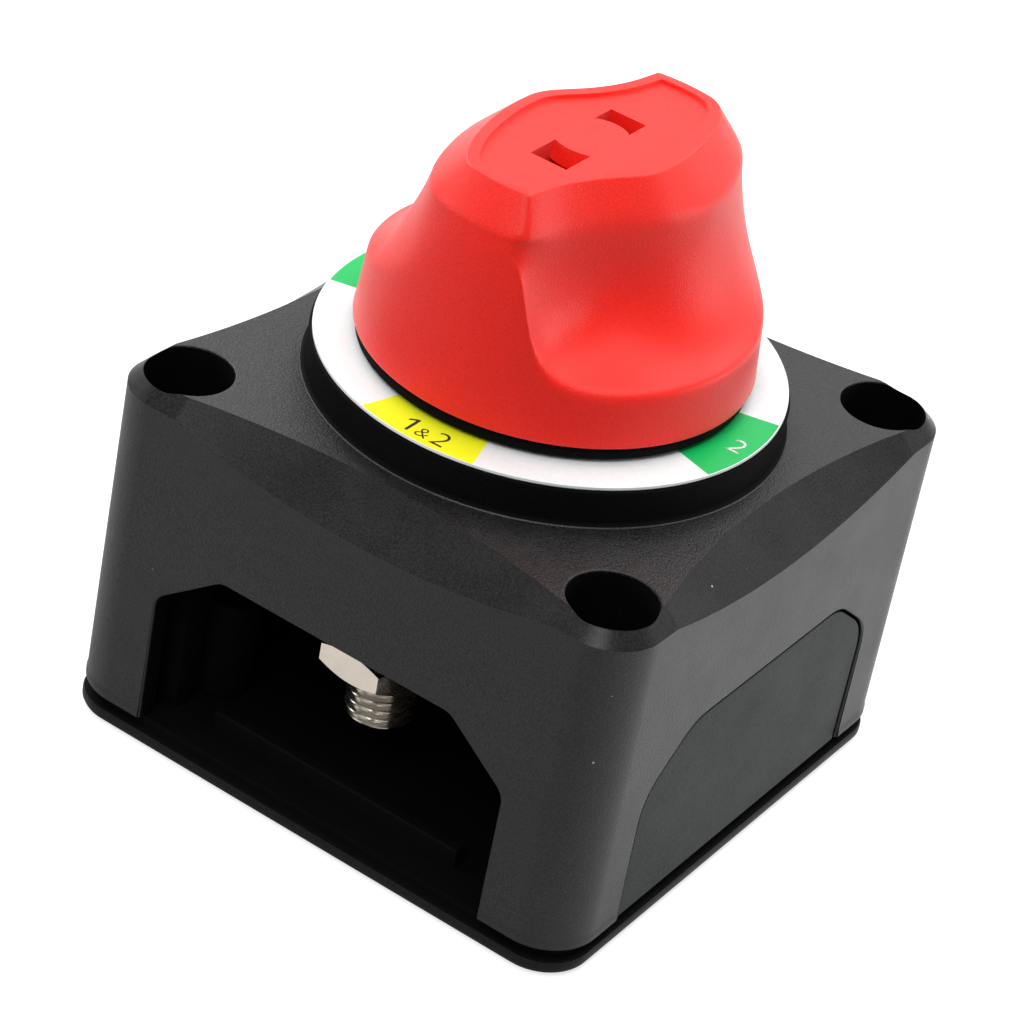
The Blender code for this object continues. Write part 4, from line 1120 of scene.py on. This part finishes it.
# By angle round the axis, in degrees: height of the ledge above the knob's foot, in mm, and bend of the scoop
LEDGE_HEIGHTS = ((-90.0, 17.0), (-75.0, 20.5), (-73.0, 18.5), (-71.0, 14.0), (-69.0, 11.0), (-65.0, 8.8))
LEDGE_HEIGHTS += ((-60.0, 7.5), (-53.0, 6.8), (-45.0, 6.5), (15.0, 6.7), (45.0, 7.6), (65.0, 10.0), (90.0, 17.0))
SCOOP_BENDS = ((-74.0, 1.8), (-50.0, 2.2), (-15.0, 2.0), (15.0, 1.6), (30.0, 1.4), (48.0, 1.2), (66.0, 1.3), (90.0, 1.3))


def smooth_line(points, steps):
    """A smooth curve through the points, both ends included."""
    line = [2 * points[0] - points[1], *points, 2 * points[-1] - points[-2]]
    made = []
    for a, b, c, d in zip(line, line[1:], line[2:], line[3:]):
        for i in range(steps):
            t = i / steps
            square = 2 * a - 5 * b + 4 * c - d
            cube = 3 * b - a - 3 * c + d
            made.append(0.5 * (2 * b + (c - a) * t + square * t**2 + cube * t**3))
    return made + [points[-1]]


def flank_table(points, out=0.0):
    """A flank of the grip in plan, moved out by a distance, as (angle, reach) pairs about the axis."""
    line = smooth_line([Vector(p) * MM for p in points], 12)
    table = []
    for before, here, after in zip([line[0], *line], line, [*line[1:], line[-1]]):
        along = (after - before).normalized()
        moved = here + Vector((along.y, -along.x)) * out
        table.append((math.degrees(math.atan2(moved.y, moved.x)), moved.length))
    return table


def table_value(table, place):
    """The value at a place, straight between the two nearest pairs of the table."""
    if place <= table[0][0]:
        return table[0][1]
    for (low, first), (high, second) in zip(table, table[1:]):
        if place <= high:
            return first + (second - first) * (place - low) / (high - low)
    return table[-1][1]


def smooth_least(first, second, width):
    """The lesser of two values, with a smooth change over where they differ by less than the width."""
    near = max(0.0, 1.0 - abs(first - second) / width)
    return min(first, second) - near * near * width / 4


def crossing(table, end):
    """Angles at which a flank comes inside the reach of the grip's ends, and goes out again."""
    found = []
    for (low, first), (high, second) in zip(table, table[1:]):
        if (first < end) != (second < end):
            found.append(low + (high - low) * (end - first) / (second - first))
    return found


def column_turns(table, end):
    """Angles of the mesh's columns round the knob, so that its corners keep their columns in every ring."""
    sharp, soft = crossing(table, end)
    half = [-90.0 + (sharp + 90.0) * i / 10 for i in range(10)]
    half += [sharp + (soft - sharp) * i / 70 for i in range(70)]
    half += [soft + (90.0 - soft) * i / 10 for i in range(10)]
    return half


def around(half, points):
    """A ring from (reach, height) points of the columns of half a turn, which the other half repeats."""
    ring = []
    for start in (0.0, 180.0):
        for degrees, (reach, height) in zip(half, points):
            t = math.radians(degrees + start)
            ring.append(Vector((reach * math.cos(t), reach * math.sin(t), height)))
    return ring


def grip_reach(knob, table, end, turn):
    """Reach of the grip's outline at an angle. Its corners are sharp at negative angles and soft at positive ones."""
    return smooth_least(table_value(table, turn), end, knob.sharp_corner if turn < 0 else knob.soft_corner)


def body_radius(knob, height):
    """Radius of the round body, which flares towards its foot."""
    shoulder_z = KNOB_HIGH.z - knob.bevel_height
    share = (shoulder_z - height) / (shoulder_z - KNOB_LOW.z)
    return knob.shoulder_radius + (knob.radius - knob.shoulder_radius) * min(1.0, max(0.0, share)) ** 0.8


def flank_column(knob, turn, start, scoop_steps, foot_steps):
    """(reach, height) points down one column: from the bevel, down the finger scoop to its ledge, then to the foot."""
    shoulder_z = KNOB_HIGH.z - knob.bevel_height
    ledge_z = KNOB_LOW.z + table_value(LEDGE_HEIGHTS, turn) * MM
    bend = table_value(SCOOP_BENDS, turn)
    hollow = knob.hollow_depth * math.exp(-(((turn + 40) / 24) ** 2))
    points = []
    for step in range(scoop_steps):
        t = math.pi / 2 * step / scoop_steps
        height = shoulder_z + (ledge_z - shoulder_z) * math.sin(t) ** (2 / bend)
        reach = start + (knob.radius - start) * (1 - math.cos(t) ** (2 / bend))
        reach -= hollow * math.sin(math.pi * (step / scoop_steps) ** 0.9) ** 2
        points.append((min(reach, body_radius(knob, height)), height))
    foot_z = KNOB_LOW.z + 0.3 * MM
    for step in range(foot_steps + 1):
        height = ledge_z + (foot_z - ledge_z) * step / foot_steps
        points.append((body_radius(knob, height), height))
    return points


def flank_rings(knob, scoop_steps=30, foot_steps=12):
    """Rings of the flank, from the bevel down to the foot."""
    table = flank_table(SHOULDER_FLANK)
    half = column_turns(table, knob.shoulder_radius)
    starts = [grip_reach(knob, table, knob.shoulder_radius, turn) for turn in half]
    columns = [flank_column(knob, turn, start, scoop_steps, foot_steps) for turn, start in zip(half, starts)]
    return [around(half, points) for points in zip(*columns)]


def eased(rings, passes):
    """The rings with each point between the first and last ring drawn towards the middle of its neighbours."""
    for _ in range(passes):
        before = rings
        rings = [before[0]]
        for above, here, below in zip(before, before[1:], before[2:]):
            sides = zip(here[-1:] + here[:-1], here[1:] + here[:1], above, below, here)
            rings.append([(left + right + up + down + 4 * point) / 8 for left, right, up, down, point in sides])
        rings.append(before[-1])
    return rings


def level_ring(knob, out, height):
    """A level ring round the grip's top, moved out from its rim by a distance."""
    table = flank_table(RIM_FLANK, out)
    end = knob.end_reach + out
    half = column_turns(table, end)
    return around(half, [(grip_reach(knob, table, end, turn), height) for turn in half])


def knob_skin(knob):
    low, high = KNOB_LOW.z, KNOB_HIGH.z
    flank = eased(flank_rings(knob), 12)
    rim = level_ring(knob, 0.12 * MM, high - 0.16 * MM)
    bevel = [rim]
    bend = 2
    for share in (0.0, 0.25, 0.5, 0.75):
        legs = zip([a.lerp(b, 0.7) for a, b in zip(rim, flank[0])], flank[0], flank[bend])
        bevel.append([a * (1 - share) ** 2 + b * 2 * share * (1 - share) + c * share**2 for a, b, c in legs])
    flank = eased([*bevel, *flank[bend:]], 3)
    half = column_turns(flank_table(SHOULDER_FLANK), knob.shoulder_radius)
    foot = [
        around(half, [(knob.radius - inset * MM, low + rise * MM)] * len(half))
        for inset, rise in ((0.3, 0.0), (0.08, 0.1))
    ]
    top = [
        level_ring(knob, out * MM, high + rise * MM)
        for out, rise in ((0.0, -0.04), (-0.12, 0.0), (-1.3, 0.0), (-1.4, -0.4))
    ]
    return lofted("knob_moulding", [*foot, *reversed(flank), *top])


def knob_hollow(knob):
    """The space inside the knob, one wall in from its skin, up to the roof over the drive."""
    wall = 2.4 * MM
    roof_z = KNOB_HIGH.z - 8.0 * MM
    rings = []
    for ring in reversed(flank_rings(knob, 12, 4)):
        inner = [p - Vector((p.x, p.y, 0)).normalized() * wall for p in ring]
        rings.append([Vector((p.x, p.y, min(p.z, roof_z))) for p in inner])
    while all(p.z == roof_z for p in rings[-2]):
        rings.pop()
    rings.insert(0, [p - Vector((0, 0, 0.6 * MM)) for p in rings[0]])
    return lofted("knob_hollow", rings)


def snap_opening(sign, near, far, arm, high):
    """The opening over one snap arm, with its narrow throat below."""
    half = 2.3 * MM
    rings = []
    for inner, z in ((near + 1.5 * MM, high - 6.4 * MM), (near - 0.56 * MM, high + 2.4 * MM)):
        spread = math.asin(half / inner)
        turns = [math.pi / 2 + spread * (1 - i / 4) for i in range(9)]
        outline = [(inner * math.cos(turn), inner * math.sin(turn)) for turn in turns]
        outline += [(half, far), (-half, far)]
        rings.append([Vector((sign * x, sign * y, z)) for x, y in outline])
    opening = lofted("snap_opening", rings)
    ends = sorted((sign * (arm[0] - 0.3 * MM), sign * (arm[1] + 0.3 * MM)))
    throat = plain_box("snap_throat", (-half, ends[0], high - 8.3 * MM), (half, ends[1], high - 2.4 * MM))
    return opening, throat


def build_knob(knob):
    low, high = KNOB_LOW.z, KNOB_HIGH.z
    roof_z = high - 8.0 * MM
    piece = knob_skin(knob)
    carve(piece, knob_hollow(knob))
    weld(piece, turned("knob_tube", [(9.5 * MM, low), (9.5 * MM, roof_z + 1.2 * MM)], 64))
    half = 5.8 * MM
    carve(piece, plain_box("knob_socket", (-half, -half, low - 2.4 * MM), (half, half, roof_z)))
    carve(piece, *snap_opening(-1, 4.9 * MM, 9.1 * MM, (4.2 * MM, 5.5 * MM), high))
    carve(piece, *snap_opening(1, 3.8 * MM, 6.4 * MM, (3.9 * MM, 5.0 * MM), high))
    finish = moulded("Red moulding", knob.red, 0.38, speckle=0.08, dust=0.04, level=0.28, sheen=0.12)
    return dress(piece, finish, "turning_knob", "knob_plastic", "knob")


def build_knob_foot(case):
    low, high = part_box("knob_base_ring")
    radius = high.x
    foot = turned(
        "knob_foot",
        [
            (radius - 0.2 * MM, low.z),
            (radius, low.z + 0.2 * MM),
            (radius, high.z - 0.3 * MM),
            (radius - 0.3 * MM, high.z),
        ],
        160,
    )
    half = 5.8 * MM
    carve(foot, plain_box("square_hole", (-half, -half, low.z - MM), (half, half, high.z + MM)))
    # Painted shade: the foot under the knob takes the near-black painted shade finish, darker than the case's plastic.
    return dress(foot, painted_shade_black(case), "turning_knob", "rotor_plastic", "knob_base_ring")


class SWITCH_OT_knob(bpy.types.Operator):
    """Models the red knob with its S-shaped grip, and the black foot under it"""

    bl_idname = "battery_switch.knob"
    bl_label = "Knob"

    def execute(self, context):
        build_knob(context.scene.switch_knob)
        build_knob_foot(context.scene.switch_case)
        return {"FINISHED"}


# Works inside


def build_spring(node, bodies, fixed, moving, wire, turns, steel):
    """A coil in place of a node, wound from its fixed end to its moving end. The bodies are not used."""
    low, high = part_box(node)
    radius = (high.x - low.x) / 2 - wire
    along = (moving - fixed).normalized()
    side = Vector((1, 0, 0))
    across = along.cross(side)
    start = fixed + wire * along
    end = moving - wire * along
    corners = [math.tau * i / 12 for i in range(12)]
    steps = round(24 * turns)
    rings = []
    for step in range(steps + 1):
        turn = math.tau * turns * step / steps
        outwards = math.cos(turn) * side + math.sin(turn) * across
        middle = start.lerp(end, step / steps) + radius * outwards
        rings.append([middle + wire * (math.cos(c) * outwards + math.sin(c) * along) for c in corners])
    coil = dress(lofted(node.replace("spring", "coil"), rings), steel, None, "steel", node)
    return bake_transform(coil)


def build_springs(steel):
    """The contact spring and the two detent springs, each coiled between its two ends."""
    low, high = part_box("contact_spring")
    ends = (Vector((0, 0, high.z)), Vector((0, 0, low.z)))
    build_spring("contact_spring", ("turning_knob", "bridge"), *ends, 0.5 * MM, 2.5, steel)
    for side in ("front", "back"):
        node = f"detent_spring_{side}"
        low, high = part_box(node)
        height = (low.z + high.z) / 2
        inner, outer = sorted((low.y, high.y), key=abs)
        ends = (Vector((0, outer, height)), Vector((0, inner, height)))
        build_spring(node, ("case", f"plunger_{side}"), *ends, 0.3 * MM, 3.5, steel)


def finish_works(case, settings):
    """Gives the frame's own inner pieces their finishes, and coils the springs."""
    black = moulded("Black works", case.shell_colour, 0.45)
    brown = moulded("Carrier moulding", (0.030, 0.026, 0.024), 0.55, grain_size=0.3)
    rubber = moulded("Black rubber", (0.012, 0.012, 0.012), 0.75, grain_size=0.1, level=0.3)
    copper = metal("Copper", settings.copper, 0.32)
    steel = metal("Spring steel", settings.steel, 0.3)
    finishes = {
        black: ("rotor",),
        brown: ("contact_carrier",),
        rubber: ("shaft_o_ring",),
        copper: ("contact_1", "contact_2", "contact_common", "contact_bridge"),
        steel: (
            "detent_plunger_front",
            "detent_plunger_back",
        ),
    }
    for material, names in finishes.items():
        for name in names:
            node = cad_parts[name]
            node.data.materials.clear()
            node.data.materials.append(material)
    build_springs(steel)


class SWITCH_OT_works(bpy.types.Operator):
    """Finishes the rotor, contacts, springs and seal inside the case"""

    bl_idname = "battery_switch.works"
    bl_label = "Works inside"

    def execute(self, context):
        finish_works(context.scene.switch_case, context.scene.switch_terminals)
        return {"FINISHED"}


# Stage


def seen_share(nodes, in_gloss):
    """1 for rays from the camera, the given share for rays in gloss and glass, else 0."""
    path = nodes.add("ShaderNodeLightPath").outputs
    gloss = nodes.maths("MAXIMUM", path["Is Glossy Ray"], path["Is Transmission Ray"])
    return nodes.maths("MAXIMUM", path["Is Camera Ray"], nodes.maths("MULTIPLY", gloss, in_gloss))


def build_floor():
    deselect()
    bpy.ops.mesh.primitive_plane_add(size=6.0)
    floor = bpy.context.object
    floor.name = "floor"
    material = bpy.data.materials.new("Pale floor")
    material.use_nodes = True
    material.node_tree.nodes.clear()
    nodes = Nodes(material.node_tree)
    plain = nodes.add("ShaderNodeBsdfDiffuse", {"Color": (0.25, 0.25, 0.25, 1.0)})
    soft = nodes.add("ShaderNodeBsdfDiffuse", {"Color": (0.5, 0.5, 0.5, 1.0)})
    glow = nodes.add("ShaderNodeEmission", {"Color": (1.0, 1.0, 1.0, 1.0), "Strength": 0.7})
    glowing_floor = nodes.add("ShaderNodeAddShader", {0: soft.outputs[0], 1: glow.outputs[0]})
    # Painted light and painted shade in gloss: gloss rays see the glowing floor in full towards the back right, and
    # only 0.45 of it towards the front left, the rest being the dark plain floor.
    place = nodes.add("ShaderNodeSeparateXYZ", {0: nodes.add("ShaderNodeTexCoord").outputs["Object"]}).outputs
    back = nodes.maths("ADD", place["X"], place["Y"])
    reach = {"Value": back, "From Min": -30 * MM, "From Max": 50 * MM, "To Min": 0.45}
    share = nodes.add("ShaderNodeMapRange", reach).outputs[0]
    mixed = nodes.add("ShaderNodeMixShader", {0: seen_share(nodes, share), 1: plain.outputs[0], 2: glowing_floor.outputs[0]})
    nodes.add("ShaderNodeOutputMaterial", {"Surface": mixed.outputs[0]})
    floor.data.materials.append(material)


def build_world(stage):
    world = bpy.data.worlds.new("White surround")
    bpy.context.scene.world = world
    world.use_nodes = True
    world.node_tree.nodes.clear()
    nodes = Nodes(world.node_tree)
    level = nodes.maths("MAXIMUM", seen_share(nodes, 1.0), stage.sky)
    light = nodes.add("ShaderNodeBackground", {"Color": (1.0, 1.0, 1.0, 1.0), "Strength": level})
    nodes.add("ShaderNodeOutputWorld", {"Surface": light.outputs[0]})


def softbox(name, place, size, level):
    """A square area light that faces the switch. At level 1 a white card there would read as white."""
    aim = Vector((0, 0, 30 * MM))
    place = Vector(place)
    deselect()
    bpy.ops.object.light_add(type="AREA", location=place)
    lamp = bpy.context.object
    lamp.name = name
    lamp.rotation_euler = (aim - place).to_track_quat("-Z", "Y").to_euler()
    lamp.data.size = size
    lamp.data.energy = 9.87 * (aim - place).length_squared * level


def build_camera(stage):
    aim = Vector(stage.aim)
    flat = math.cos(stage.elevation)
    out = Vector((math.sin(stage.azimuth) * flat, -math.cos(stage.azimuth) * flat, math.sin(stage.elevation)))
    deselect()
    bpy.ops.object.camera_add(location=aim + out * stage.distance)
    camera = bpy.context.object
    look = (-out).to_track_quat("-Z", "Y").to_matrix() @ Matrix.Rotation(stage.roll, 3, "Z")
    camera.rotation_euler = look.to_euler()
    camera.data.sensor_width = 36.0
    camera.data.lens = stage.lens
    camera.data.clip_start = 0.01
    bpy.context.scene.camera = camera


class SWITCH_OT_stage(bpy.types.Operator):
    """Sets the pale floor, soft lights, white surround and camera"""

    bl_idname = "battery_switch.stage"
    bl_label = "Stage"

    def execute(self, context):
        stage = context.scene.switch_stage
        build_floor()
        build_world(stage)
        softbox("top_softbox", (0.08, -0.05, 0.85), 0.6, stage.top)
        softbox("front_softbox", (0.1, -0.58, 0.78), 0.4, stage.front)
        softbox("back_softbox", (0.12, 0.55, 0.65), 0.7, stage.back)
        softbox("right_softbox", (0.75, 0.55, 0.14), 0.4, stage.right)
        softbox("left_softbox", (-0.7, 0.3, 0.5), 0.5, stage.left)
        softbox("fill_softbox", (-0.8, -0.45, 0.25), 0.5, stage.fill)
        build_camera(stage)
        context.scene.view_settings.view_transform = "Standard"
        return {"FINISHED"}


OPERATORS = (
    SWITCH_OT_case,
    SWITCH_OT_base_plate,
    SWITCH_OT_panels,
    SWITCH_OT_terminals,
    SWITCH_OT_screws,
    SWITCH_OT_dial,
    SWITCH_OT_knob,
    SWITCH_OT_works,
    SWITCH_OT_stage,
)


class SWITCH_PT_panel(bpy.types.Panel):
    """Lists the pieces of the switch"""

    bl_idname = "SWITCH_PT_panel"
    bl_label = "Battery switch"
    bl_space_type = "VIEW_3D"
    bl_region_type = "UI"
    bl_category = "Battery Switch"

    def draw(self, context):
        for operator in OPERATORS:
            self.layout.operator(operator.bl_idname)


def register():
    for name, group in SETTINGS.items():
        bpy.utils.register_class(group)
        setattr(bpy.types.Scene, name, PointerProperty(type=group))
    for each in (*OPERATORS, SWITCH_PT_panel):
        bpy.utils.register_class(each)


def unregister():
    for each in (SWITCH_PT_panel, *reversed(OPERATORS)):
        bpy.utils.unregister_class(each)
    for name, group in SETTINGS.items():
        delattr(bpy.types.Scene, name)
        bpy.utils.unregister_class(group)


def main():
    register()
    bpy.ops.battery_switch.case()
    bpy.ops.battery_switch.base_plate()
    bpy.ops.battery_switch.panels()
    bpy.ops.battery_switch.terminals()
    bpy.ops.battery_switch.screws()
    bpy.ops.battery_switch.dial()
    bpy.ops.battery_switch.knob()
    bpy.ops.battery_switch.works()
    bpy.ops.battery_switch.stage()


if __name__ == "__main__":
    main()
